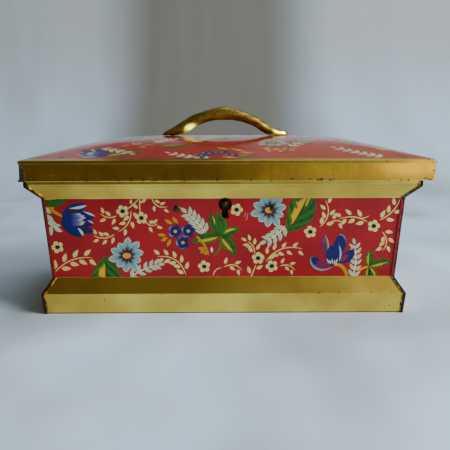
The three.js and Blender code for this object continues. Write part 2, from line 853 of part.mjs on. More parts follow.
piece("lock_plate", lockPlate(), steel, lock);
piece("lock_case", lockCase(), steel, lock);
piece("drill_pin", drillPin(), steel, lock);
piece("lock_bolt", bolt(), brass, lock);
piece("lock_stump", stump(), steel, lock).position.set(stumpPlace, 0, boltMiddle);
piece("lock_spring", spring(), steel, lock);
const lockGrip = sheet + plateSheet + 3 * seatGap;
for (const [side, x] of lockRivetPlaces) {
  const mesh = piece(`lock_rivet_${side}`, rivet(lockGrip, lockRivetHead), steel, lock);
  mesh.position.set(x, -sheet - seatGap, -lockRivetDrop);
}
for (const [side, x] of caseRivetPlaces) {
  const headFace = caseFace + caseSheet + seatGap;
  const geometry = rivet(headFace - plateFace, rivetHead, 0).rotateZ(Math.PI);
  piece(`case_rivet_${side}`, geometry, steel, lock).position.set(x, headFace, 0);
}

// Keeper: a lug with an eye for the bolt, on a foot soldered under the lid
function keeper() {
  const eye = new THREE.Vector3(
    (keeperLeft + keeperRight) / 2,
    (boltSetback + boltBack) / 2,
    tipFoot + tipHeight / 2,
  ).applyMatrix4(lock.matrix);
  const eyeHalfY = boltSheet / 2 + eyePlay;
  const eyeHalfZ = tipHeight / 2 + eyePlay;
  const inset = lidHalfBreadth + eye.y;
  const halfX = keeperSheet / 2;
  const halfY = keeperWidth / 2;
  const bottom = eye.z - eyeHalfZ - keeperMargin;
  const fall = roofPitch * (keeperFootBreadth / 2);
  const footTop = roofUnderside(inset) - fall - seatGap;
  const lug = block(eye.x - halfX, eye.x + halfX, eye.y - halfY, eye.y + halfY, bottom, footTop);
  const hole = block(
    eye.x - keeperSheet, eye.x + keeperSheet,
    eye.y - eyeHalfY, eye.y + eyeHalfY, eye.z - eyeHalfZ, eye.z + eyeHalfZ,
  );
  const slope = Math.atan2(roofRise(inset + 1) - roofRise(inset - 1), 2);
  const foot = block(
    -halfX, keeperFootLength - halfX,
    -keeperFootBreadth / 2, keeperFootBreadth / 2, -keeperFootSheet, 0,
  );
  foot.rotateX(slope).translate(eye.x, eye.y, roofUnderside(inset) - seatGap);
  return join(cut(lug, hole), foot);
}
piece("lid_keeper", keeper(), steel, lid);

export default box;
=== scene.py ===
import json
import math

import bmesh
import bpy
from mathutils import Matrix, Vector


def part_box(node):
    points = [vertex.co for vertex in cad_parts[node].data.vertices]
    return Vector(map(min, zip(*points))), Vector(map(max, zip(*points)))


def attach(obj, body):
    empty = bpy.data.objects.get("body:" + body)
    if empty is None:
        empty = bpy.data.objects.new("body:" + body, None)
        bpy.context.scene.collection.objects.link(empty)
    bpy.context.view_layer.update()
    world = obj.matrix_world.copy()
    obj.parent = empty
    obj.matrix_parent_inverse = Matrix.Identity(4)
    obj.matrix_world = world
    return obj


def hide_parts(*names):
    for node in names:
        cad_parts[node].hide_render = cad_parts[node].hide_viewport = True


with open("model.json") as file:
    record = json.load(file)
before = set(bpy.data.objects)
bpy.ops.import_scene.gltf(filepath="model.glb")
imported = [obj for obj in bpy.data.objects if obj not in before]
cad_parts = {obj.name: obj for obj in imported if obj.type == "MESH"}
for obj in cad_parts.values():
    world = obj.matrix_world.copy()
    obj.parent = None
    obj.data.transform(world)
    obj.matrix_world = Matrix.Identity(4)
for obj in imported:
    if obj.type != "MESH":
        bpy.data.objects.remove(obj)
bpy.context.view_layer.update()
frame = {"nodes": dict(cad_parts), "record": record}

nodes = frame["nodes"]

# Camera
# It looks slightly down at the keyhole side. Its place, turn and lens are the ones that the straight edges
# of the box in the photograph fit best.
mm = 0.001
camera = bpy.data.objects.new("camera", bpy.data.cameras.new("camera"))
bpy.context.scene.collection.objects.link(camera)
camera.data.lens = 65.88
camera.data.clip_start = 10 * mm
stand = Matrix.Translation(Vector((-1.1, -600.4, 131.9)) * mm)
heading = Matrix.Rotation(math.radians(-0.23), 4, "Z")
downward = Matrix.Rotation(math.radians(90 - 7.97), 4, "X")
roll = Matrix.Rotation(math.radians(-0.19), 4, "Z")
camera.matrix_world = stand @ heading @ downward @ roll
bpy.context.scene.camera = camera

# Walls
# Each wall is one tinplate sheet from the hem to the curled top edge, with a bare inner side. It is printed
# flat in crimson enamel, with gold lacquer on its mouldings, and then bent. The corners are folded into one
# another and worn to iron.


def colour(code):
    """A paint colour from its hexadecimal code, as the shader wants it."""
    parts = [int(code[i : i + 2], 16) / 255 for i in (0, 2, 4)]
    linear = [c / 12.92 if c <= 0.04045 else ((c + 0.055) / 1.055) ** 2.4 for c in parts]
    return (*linear, 1)


class Wire:
    """An output of a shader node. Sums, products and comparisons of wires add their own Math nodes."""

    def __init__(self, tree, socket):
        self.tree = tree
        self.socket = socket

    def node(self, kind, settings, inputs, output=0):
        """Adds a node with its settings made first and its inputs set or wired; returns one output."""
        made = self.tree.nodes.new(kind)
        for name, value in settings.items():
            setattr(made, name, value)
        for name, value in inputs.items():
            if isinstance(value, Wire):
                self.tree.links.new(value.socket, made.inputs[name])
            else:
                made.inputs[name].default_value = value
        return Wire(self.tree, made.outputs[output])

    def math(self, operation, *values):
        return self.node("ShaderNodeMath", {"operation": operation}, dict(enumerate((self, *values))))

    def __add__(self, other):
        return self.math("ADD", other)

    def __sub__(self, other):
        return self.math("SUBTRACT", other)

    def __rsub__(self, other):
        return self.math("MULTIPLY", -1).math("ADD", other)

    def __mul__(self, other):
        return self.math("MULTIPLY", other)

    def __gt__(self, other):
        return self.math("GREATER_THAN", other)

    def __lt__(self, other):
        return self.math("LESS_THAN", other)

    def __abs__(self):
        return self.math("ABSOLUTE")

    __radd__ = __add__
    __rmul__ = __mul__

    def least(self, other):
        return self.math("MINIMUM", other)

    def most(self, other):
        return self.math("MAXIMUM", other)

    def ramp(self, start, end, low=0.0, high=1.0, kind="LINEAR"):
        """Goes evenly from low to high as this value goes from start to end."""
        inputs = {"Value": self, "From Min": start, "From Max": end, "To Min": low, "To Max": high}
        return self.node("ShaderNodeMapRange", {"interpolation_type": kind}, inputs)

    def rise(self, start, end, low=0.0, high=1.0):
        """Goes smoothly from low to high as this value goes from start to end."""
        return self.ramp(start, end, low, high, "SMOOTHSTEP")

    def mix(self, under, over):
        """The colour under where this mask is 0, and the colour over where it is 1."""
        first_colour, second_colour, result_colour = 6, 7, 2
        inputs = {"Factor": self, first_colour: under, second_colour: over}
        return self.node("ShaderNodeMix", {"data_type": "RGBA"}, inputs, result_colour)

    def part(self, axis):
        return self.node("ShaderNodeSeparateXYZ", {}, {"Vector": self}, axis)

    def stretched(self, x, y, z, shift=(0, 0, 0)):
        inputs = {"Vector": self, "Scale": (x, y, z), "Location": shift}
        return self.node("ShaderNodeMapping", {}, inputs)

    def noise(self, grain, detail=2.0, roughness=0.5, output="Fac"):
        """Soft noise with grains of about this size in metres, from 0 to 1."""
        inputs = {"Vector": self, "Scale": 1 / grain, "Detail": detail, "Roughness": roughness}
        return self.node("ShaderNodeTexNoise", {}, inputs, output)

    def warped(self, grain, reach):
        """A place pushed about by soft noise, so that what is drawn there gets ragged edges."""
        drift = self.noise(grain, 1.0, output="Color")
        inputs = {0: drift, 1: (reach, reach, reach), 2: self}
        return self.node("ShaderNodeVectorMath", {"operation": "MULTIPLY_ADD"}, inputs)

    def specks(self, spacing, size, share):
        """Ragged specks of about this size, strewn this far apart, of which only a share shows."""
        ragged = self.warped(size * 1.5, size * 1.2)
        inputs = {"Vector": ragged, "Scale": 1 / spacing}
        near = ragged.node("ShaderNodeTexVoronoi", {}, inputs, "Distance")
        lot = ragged.node("ShaderNodeTexVoronoi", {}, inputs, "Color")
        return (near < size / 2 / spacing) * (lot.part("X") < share)


class Finish:
    """A material in the making: its shader, and the place on the object that its patterns follow."""

    def __init__(self, name, **constants):
        self.material = bpy.data.materials.new(name)
        self.material.use_nodes = True
        self.shader = self.material.node_tree.nodes["Principled BSDF"]
        self.place = Wire(self.material.node_tree, None).node("ShaderNodeTexCoord", {}, {}, "Object")
        self.x, self.y, self.z = (self.place.part(axis) for axis in "XYZ")
        for name, value in constants.items():
            self.set(name.replace("_", " "), value)

    def set(self, name, value):
        """Gives one of the shader's sockets a value or a wire."""
        socket = self.shader.inputs[name]
        if isinstance(value, Wire):
            self.material.node_tree.links.new(value.socket, socket)
        else:
            socket.default_value = value

    def relief(self, height):
        """Bumps of this height in metres."""
        inputs = {"Height": height, "Distance": 1.0, "Strength": 1.0}
        self.set("Normal", height.node("ShaderNodeBump", {}, inputs, "Normal"))


BASE_TOP = 13.4 * mm
WAIST = 23.0 * mm
WALL_TOP = 75.75 * mm
CORNICE_EDGE = 83.9 * mm
SHOULDER = 1.5 * mm
FOOT_LENGTH, FOOT_BREADTH = 116.5 * mm, 74.0 * mm
BASE_SPREAD = 1.5 * mm
PLINTH_STEP = 6.5 * mm
WALL_FLARE = 4.7 * mm
CORNICE_SPREAD = 9.0 * mm
SHEET = 0.4 * mm
SEAM_WIDTH = 1.6 * mm
IRON, RUST = colour("1d1712"), colour("4a2c16")
VARNISH = {"Coat_IOR": 1.5, "Coat_Roughness": 0.07, "Coat_Weight": 0.1, "Specular_IOR_Level": 0.22}


def half_size_at(z, foot):
    """Half the body's size at a height: out over the base, in up the plinth, and out to the cornice."""
    out_base = z.ramp(0, BASE_TOP, 0, BASE_SPREAD)
    in_plinth = z.ramp(BASE_TOP, WAIST, 0, -PLINTH_STEP)
    out_wall = z.ramp(WAIST, WALL_TOP, 0, WALL_FLARE)
    out_cornice = z.ramp(WALL_TOP, CORNICE_EDGE, 0, CORNICE_SPREAD)
    return out_base + in_plinth + out_wall + out_cornice + foot


def wall_corner_wear(finish, to_end, to_side):
    """The folded corners: 1 on the seam and in ragged patches beside it."""
    ragged = finish.place.noise(2.5 * mm, 4.0) * 3.4 * mm
    on_wall = finish.z.rise(WAIST, WAIST + 2 * mm) * finish.z.rise(WALL_TOP, WALL_TOP - 2 * mm)
    edge = to_end.most(to_side) + ragged + on_wall * 1.3 * mm
    return edge.rise(SEAM_WIDTH + 1.9 * mm, SEAM_WIDTH + 1.5 * mm)


def buckles(finish):
    """The slow waves of thin sheet, which bend its reflections."""
    return finish.place.noise(55 * mm, 0.0) * 0.55 * mm


def enamel_and_gold(finish, enamel, iron_mask, cove=0.0, roughness=0.24, inside=None):
    """Colours a printed sheet: enamel and gold lacquer, each giving way to bare iron under the iron mask,
    and bare tin inside. The mask holds wear, and on the walls also the painted shadow along the hem.
    """
    cloud = finish.place.noise(20 * mm, 3.0)
    red = cloud.rise(0.3, 0.75).mix(colour("8b0a10"), colour("9f0d15"))
    gold = cloud.rise(0.32, 0.68).mix(colour("dcb64c"), colour("efcf5a"))
    bare = finish.place.noise(0.8 * mm, 2.0).rise(0.42, 0.66).mix(IRON, RUST)
    shine = 1 - enamel
    printed = iron_mask.mix(enamel.mix(gold, red), bare)
    metal = shine * (1 - iron_mask) + iron_mask * 0.4
    if inside:
        tin = cloud.rise(0.3, 0.7).mix(colour("7d7a70"), colour("a9a69a"))
        printed = inside.mix(printed, tin)
        metal = metal.most(inside * 0.9)
    finish.set("Base Color", printed)
    finish.set("Metallic", metal)
    finish.set("Roughness", enamel * 0.04 + iron_mask * 0.3 + roughness)
    finish.relief(buckles(finish) + cove)
    return finish.material


def wall_finish():
    """Crimson between the mouldings, gold on them and nicked on their folds, with a painted shadow along the
    hem.
    """
    finish = Finish("crimson_enamel_and_gold_lacquer", **VARNISH)
    z = finish.z
    to_end = half_size_at(z, FOOT_LENGTH) - abs(finish.x)
    to_side = half_size_at(z, FOOT_BREADTH) - abs(finish.y)
    edge = z + finish.place.noise(18 * mm, 1.0) * 0.4 * mm
    enamel = (edge > WAIST + 0.45 * mm) * (edge < WALL_TOP - 0.1 * mm)
    nicks = finish.place.specks(6 * mm, 0.8 * mm, 0.16) * (1 - enamel)
    on_fold = abs(z - BASE_TOP) < 0.8 * mm
    fold_nicks = finish.place.specks(2.6 * mm, 1.0 * mm, 0.3) * on_fold
    # Painted shadow: the lowest millimetre of the hem is drawn as dark bare iron.
    hem_shadow = z.rise(0.9 * mm, 0.5 * mm)
    corners = wall_corner_wear(finish, to_end, to_side)
    iron_mask = corners.most(nicks).most(fold_nicks).most(hem_shadow)
    inside = to_end.least(to_side) > SHEET / 2
    cove = z.ramp(WALL_TOP, CORNICE_EDGE, 2.4 * mm, 0)
    cove += z.ramp(CORNICE_EDGE, CORNICE_EDGE + SHOULDER, 0, 0.7 * SHOULDER)
    return enamel_and_gold(finish, enamel * (1 - inside), iron_mask, cove, inside=inside)


def tin_finish():
    """Plain tinplate, as on every sheet's inner side: crystalline bloom, dull stains and pin rust."""
    finish = Finish("bare_tinplate", Metallic=1.0)
    bloom = finish.place.noise(30 * mm, 4.0, 0.6)
    pins = finish.place.specks(6 * mm, 0.7 * mm, 0.25)
    sheen = bloom.rise(0.3, 0.7).mix(colour("8f8c82"), colour("b9b6aa"))
    finish.set("Base Color", pins.mix(sheen, RUST))
    finish.set("Roughness", bloom.ramp(0.2, 0.8, 0.3, 0.5) + pins * 0.3)
    finish.relief(bloom * 0.05 * mm)
    return finish.material


def paint(obj, *materials):
    """Gives an object these materials in place of its own."""
    obj.data.materials.clear()
    for material in materials:
        obj.data.materials.append(material)


def make_object(name, mesh, *materials):
    """Makes an object from a finished bmesh and dresses it."""
    data = bpy.data.meshes.new(name)
    mesh.to_mesh(data)
    mesh.free()
    obj = bpy.data.objects.new(name, data)
    bpy.context.scene.collection.objects.link(obj)
    paint(obj, *materials)
    return obj


def add_piece(name, mesh, body, slot, *materials, stands_for=()):
    """Adds a piece that rides on a body, in these materials, in place of the nodes it stands for. Its slot
    is not used.
    """
    obj = make_object(name, mesh, *materials)
    if stands_for:
        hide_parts(*stands_for)
    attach(obj, body)
    return obj


enamelled = wall_finish()
tinplate = tin_finish()
for wall in ("front_panel", "back_panel", "left_panel", "right_panel"):
    paint(nodes[wall], enamelled)

# Bottom
# A shallow tray of plain tinplate, pressed from one sheet with its edge turned up.
# That edge stands inside the hems of the walls, which hold it.
paint(nodes["bottom_plate"], tinplate)

# Lid sheet
# One pressed sheet: a soft hipped roof with a gold border, turned down at its edge over the band below.
# It is enamelled and thickly varnished outside, and bare tinplate inside.
LID_LOW, LID_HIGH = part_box("lid_top")
LID_MIDDLE = (LID_LOW.x + LID_HIGH.x) / 2
LID_LENGTH, LID_BREADTH = LID_HIGH.x - LID_MIDDLE, LID_HIGH.y
FLANGE_DROP = 2.2 * mm
EAVE = LID_LOW.z + FLANGE_DROP
PITCH, CROWN, BLEND = 0.2288, 12.93 * mm, 2.9 * mm
CORNER, HIP_SOFTNESS = 1.6 * mm, 0.3
BORDER = 4.4 * mm
RIDGE = LID_LENGTH - LID_BREADTH
LID_VARNISH = {"Coat_IOR": 1.5, "Coat_Roughness": 0.05, "Coat_Weight": 0.55, "Specular_IOR_Level": 0.3}
FULL_ROUND = (LID_BREADTH - CORNER) / (1 + HIP_SOFTNESS)


def roof_height(inset):
    """The lid's height this far in from its edge: a straight slope that levels off at the crest."""
    slope, crown = math.exp(-PITCH * inset / BLEND), math.exp(-CROWN / BLEND)
    return EAVE + BLEND * (math.log(1 + crown) - math.log(slope + crown))


def inset_at(x, y):
    """Distance in from the lid's edge, round the softened hips."""
    across, along = abs(y), abs(x - LID_MIDDLE)
    inset = min(LID_LENGTH - along, LID_BREADTH - across)
    reach = 1 + HIP_SOFTNESS
    a, b = along - LID_LENGTH + CORNER, across - LID_BREADTH + CORNER
    if a + reach * inset > 0 and b + reach * inset > 0:
        square = 2 * reach**2 - HIP_SOFTNESS**2
        line = 2 * reach * (a + b) - 2 * HIP_SOFTNESS * CORNER
        rest = a * a + b * b - CORNER**2
        inset = (-line + math.sqrt(max(line * line - 4 * square * rest, 0))) / (2 * square)
    if inset > FULL_ROUND and along > RIDGE:
        inset = max(FULL_ROUND, LID_BREADTH - math.hypot(along - RIDGE, across))
    return inset


def on_lid(x, y, lift=0.0):
    """Where a flat point of a print comes on the lid."""
    return Vector((x, y, roof_height(inset_at(x, y)) + lift))


def ring_point(index, count, inset):
    """A point on the rounded rectangle at this inset from the lid's edge."""
    half_x, half_y = LID_LENGTH - inset, LID_BREADTH - inset
    radius = min(CORNER + HIP_SOFTNESS * inset, half_y)
    quarter, step = divmod(index, count // 4)
    side_x, side_y = ((1, 1), (-1, 1), (-1, -1), (1, -1))[quarter]
    angle = (quarter + step / (count // 4 - 1)) * math.pi / 2
    x = LID_MIDDLE + side_x * (half_x - radius) + radius * math.cos(angle)
    y = side_y * (half_y - radius) + radius * math.sin(angle)
    return x, y


def lid_sheet(rings=60, count=64, bend=0.5 * mm, bend_steps=4, hold=0.1 * mm, crest=3 * mm):
    """Rings of points from the flange's lower edge round the bend and up to the crest."""
    mesh = bmesh.new()
    ring = bmesh.ops.create_circle(mesh, segments=count, radius=1)["verts"]
    ring.sort(key=lambda vertex: math.atan2(vertex.co.y, vertex.co.x))
    low = EAVE - FLANGE_DROP
    levels = [(0.0, low), (0.0, low + hold), (0.0, EAVE - bend - hold)]
    for step in range(bend_steps + 1):
        turn = step / bend_steps * math.pi / 2
        levels.append((bend - bend * math.cos(turn), EAVE - bend + bend * math.sin(turn)))
    reach = LID_BREADTH - crest
    levels += [(bend + (reach - bend) * s / rings, None) for s in range(1, rings + 1)]
    for level, (inset, height) in enumerate(levels):
        if level:
            edges = [mesh.edges.get(pair) for pair in zip(ring, ring[1:] + ring[:1])]
            made = set(bmesh.ops.extrude_edge_only(mesh, edges=edges)["geom"])
            ring = [next(e.other_vert(v) for e in v.link_edges if e.other_vert(v) in made) for v in ring]
        for index, vertex in enumerate(ring):
            z = roof_height(inset) if height is None else height
            vertex.co = (*ring_point(index, count, inset), z)
    bmesh.ops.contextual_create(mesh, geom=ring)
    bmesh.ops.recalc_face_normals(mesh, faces=mesh.faces)
    for face in mesh.faces:
        face.smooth = True
    return mesh


def lid_finish():
    """Crimson with a gold border, which is nicked and worn through at the corners."""
    finish = Finish("lid_enamel_and_gold_border", **LID_VARNISH)
    to_end = LID_LENGTH - abs(finish.x - LID_MIDDLE)
    to_side = LID_BREADTH - abs(finish.y)
    inset = to_end.least(to_side) + finish.place.noise(25 * mm, 1.0) * 0.5 * mm
    enamel = inset > BORDER
    corner = to_end.most(to_side) + finish.place.noise(2.5 * mm, 4.0) * 5 * mm
    nicks = finish.place.specks(3.2 * mm, 1.0 * mm, 0.22) * (1 - enamel)
    iron_mask = corner.rise(4.2 * mm, 3.2 * mm).most(nicks)
    return enamel_and_gold(finish, enamel, iron_mask, roughness=0.15)


lid_enamelled = lid_finish()
lid_skin = add_piece(
    "lid_sheet", lid_sheet(), "lid", "printed_enamel", lid_enamelled, tinplate, stands_for=["lid_top"]
)
thickness = lid_skin.modifiers.new("thickness", "SOLIDIFY")
thickness.thickness = SHEET
thickness.offset = -1
thickness.material_offset = 1

# Lid band
# A gold lacquered strip with a rolled bead along its lower edge. Its upper edge stands inside the lid
# sheet's turned-down edge. It is worn black at the corners and chipped along the bead. The black at the
# lower left corner is widened by a painted reflection of the dark room, and the bead carries a painted
# highlight.
BEAD_TOP = EAVE - 11.9 * mm
CHIPPED_LINE = EAVE - 12.2 * mm


def smooth_copy(node, name, body, slot, *materials, sharp=35):
    """The same shape as a CAD node, with its rounded faces shaded smoothly up to the sharp edges."""
    mesh = bmesh.new()
    mesh.from_mesh(nodes[node].data)
    bmesh.ops.remove_doubles(mesh, verts=mesh.verts, dist=0.001 * mm)
    for face in mesh.faces:
        face.smooth = True
    for edge in mesh.edges:
        edge.smooth = edge.calc_face_angle(math.pi) < math.radians(sharp)
    return add_piece(name, mesh, body, slot, *materials, stands_for=[node])


def band_finish():
    """Gold lacquer with fine streaks and scuffs, worn black at the corners. The black is widest at the lower
    left, partly a painted reflection of the dark room, and the bead is a little paler: a painted highlight.
    """
    finish = Finish("gold_lacquer")
    z, place = finish.z, finish.place
    streaks = place.stretched(1, 1, 0.05).noise(1.0 * mm, 2.0)
    cloud = place.noise(16 * mm, 3.0)
    scuffs = place.stretched(0.06, 0.06, 1).noise(0.9 * mm, 3.0).rise(0.5, 0.7) * cloud.rise(0.6, 0.7)
    to_end = LID_LENGTH - abs(finish.x - LID_MIDDLE)
    to_side = LID_BREADTH - abs(finish.y)
    left = finish.x.rise(0, -50 * mm)
    low = z.rise(EAVE - 1.5 * mm, EAVE - 6 * mm)
    ragged = place.noise(2.2 * mm, 6.0, 0.7) * 7 * mm
    edge = to_end.most(to_side)
    # Painted reflection: at the lower left the black corner reaches farther, for the dark room that the gold
    # mirrors there; the rest of the black is wear and rust.
    corner = (edge + ragged - left * low * 3.8 * mm).rise(4.3 * mm, 3.7 * mm)
    specks = place.specks(1.5 * mm, 0.9 * mm, 0.5)
    near_corner = (edge - left * 3 * mm).rise(8 * mm, 2 * mm)
    nicks = place.specks(7 * mm, 0.8 * mm, 0.12)
    bead = z < BEAD_TOP
    on_line = abs(z - CHIPPED_LINE) < 0.8 * mm
    chips = place.specks(2.6 * mm, 2.0 * mm, left * 0.4 + 0.3) * on_line
    iron_mask = corner.most(specks * near_corner).most(nicks).most(chips)
    gold = (streaks * 0.2 + cloud * 0.8).rise(0.35, 0.65).mix(colour("d6ad40"), colour("edc546"))
    # Painted highlight: the bead is a little paler than the band; the pale scuffs are wear.
    bright = (bead * 0.15).most(scuffs * 0.35).mix(gold, colour("f4e2a8"))
    bare = place.noise(0.8 * mm, 2.0).rise(0.5, 0.62).mix(IRON, colour("5d574b"))
    finish.set("Base Color", iron_mask.mix(bright, bare))
    finish.set("Metallic", 1 - iron_mask * 0.6)
    finish.set("Roughness", streaks * 0.06 + iron_mask * 0.35 + scuffs * 0.2 + 0.15)
    finish.relief(buckles(finish) + streaks * 0.002 * mm)
    return finish.material


smooth_copy("lid_rim", "lid_band", "lid", "gold_lacquer", band_finish())

# Handle
# A cast brass bow with flattened feet, brown with handling and paler along the top as a painted highlight.
# Its studs pass through the lid and are clinched on the backing plates inside.


def handle_finish():
    """Brass under a brown patina in long patches, paler along the top as a painted highlight."""
    finish = Finish("worn_brass")
    place = finish.place
    patina = place.stretched(0.35, 1, 1).noise(3.4 * mm, 5.0, 0.6)
    grain = place.noise(0.9 * mm, 3.0, 0.6)
    # Painted highlight: the brass is paler over its top 6 mm.
    top_highlight = (finish.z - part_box("handle")[1].z).rise(-6 * mm, -0.5 * mm)
    brown = (patina * 0.65 + grain * 0.35 + top_highlight * 0.05).rise(0.42, 0.62)
    brass = brown.mix(colour("544519"), colour("b4963a"))
    finish.set("Base Color", brass)
    finish.set("Metallic", brown.ramp(0, 1, 0.75, 1.0))
    finish.set("Roughness", brown.ramp(0, 1, 0.42, 0.24) + grain * 0.1)
    finish.relief(grain * 0.03 * mm + patina * 0.06 * mm)
    return finish.material


smooth_copy("handle", "bow_handle", "lid", "handle_brass", handle_finish(), sharp=50)

# Lock, hinges and fixings
# Small steel and brass parts, browned with age, and a rusty pin in the keyhole. The hinges are lacquered
# gold as the band is. Round parts and thin leaves are copies of their nodes, with smooth curved faces.


def metal_finish(name, bright, dull, grain, roughness):
    """A dull metal with stains of two tones, fine scratches and a little rust."""
    finish = Finish(name, Metallic=1.0)
    stain = finish.place.noise(grain, 4.0, 0.6)
    scratch = finish.place.stretched(0.15, 1, 1).noise(0.5 * mm, 2.0)
    rust = finish.place.noise(2.2 * mm, 4.0, 0.65).rise(0.58, 0.68)
    finish.set("Base Color", rust.mix(stain.rise(0.35, 0.65).mix(bright, dull), RUST))
    finish.set("Metallic", 1 - rust * 0.7)
    finish.set("Roughness", stain.ramp(0.3, 0.7, roughness, roughness + 0.15) + rust * 0.3)
    finish.relief(scratch * 0.01 * mm + stain * 0.02 * mm)
    return finish.material


dark_steel = metal_finish("tarnished_steel", colour("57503f"), colour("2f2a22"), 4 * mm, 0.38)
dull_brass = metal_finish("dull_brass", colour("a8853c"), colour("6b5326"), 5 * mm, 0.35)
hinge_gold = metal_finish("worn_gold_on_steel", colour("b8934a"), colour("6a5a3c"), 6 * mm, 0.32)
rusted = metal_finish("rusted_pin", colour("7a4a26"), colour("4a2c16"), 2 * mm, 0.4)
finishes = {"lock_steel": dark_steel, "lock_brass": dull_brass, "hinge_steel": hinge_gold}
rounded_parts = ("rivet", "pin", "strap", "leaf", "lock_stump")
bodies = {node: body for body, parts in frame["record"]["behaviour"]["bodies"].items() for node in parts}
for row in frame["record"]["subparts"]:
    node, slot = row["node"], row["material_slot"]
    if slot not in finishes:
        continue
    if any(part in node for part in rounded_parts):
        finish = rusted if node == "drill_pin" else finishes[slot]
        smooth_copy(node, node + "_smooth", bodies[node], slot, finish)
    else:
        paint(nodes[node], finishes[slot])

# Printed flowers
# Flowers, leaves and sprays under the same varnish as the enamel. Each ink shape is a thin skin on the
# sheet, and shapes that lie over others are a hair higher. The cream ink is thin, so the tin shines through.


def gilt(code, shine):
    """A paint colour with the share of bare metal that shines through it, kept in its last number."""
    return (*colour(code)[:3], 1 - shine)


CREAM, CREAM_EDGE, STEM = gilt("dcc465", 0.5), gilt("f0d987", 0.5), gilt("e8bf70", 0.4)
FERN, FERN_EDGE = colour("93b088"), colour("cfd2ac")
NAVY, BLUE, SKY = colour("030a24"), colour("04135c"), colour("7fa9b4")
GREEN, DEEP_GREEN, YELLOW = colour("2a6a08"), colour("0c3a0a"), gilt("e0a008", 0.2)
OCHRE, ORANGE, PLUM, ROSE = gilt("b8890c", 0.3), gilt("e08c08", 0.2), colour("38092c"), colour("a01c3e")
PETAL, PETAL_EDGE, LILAC = colour("6f9896"), colour("c9cfbe"), colour("77739e")
SCRATCH = colour("b87a70")
LAYER = 0.016 * mm
FILM = 0.03 * mm
STRIPS = 4


def tone(under, over, share):
    """The paint this share of the way from one colour to another."""
    share = min(max(share, 0), 1)
    return tuple(a + (b - a) * share for a, b in zip(under, over))


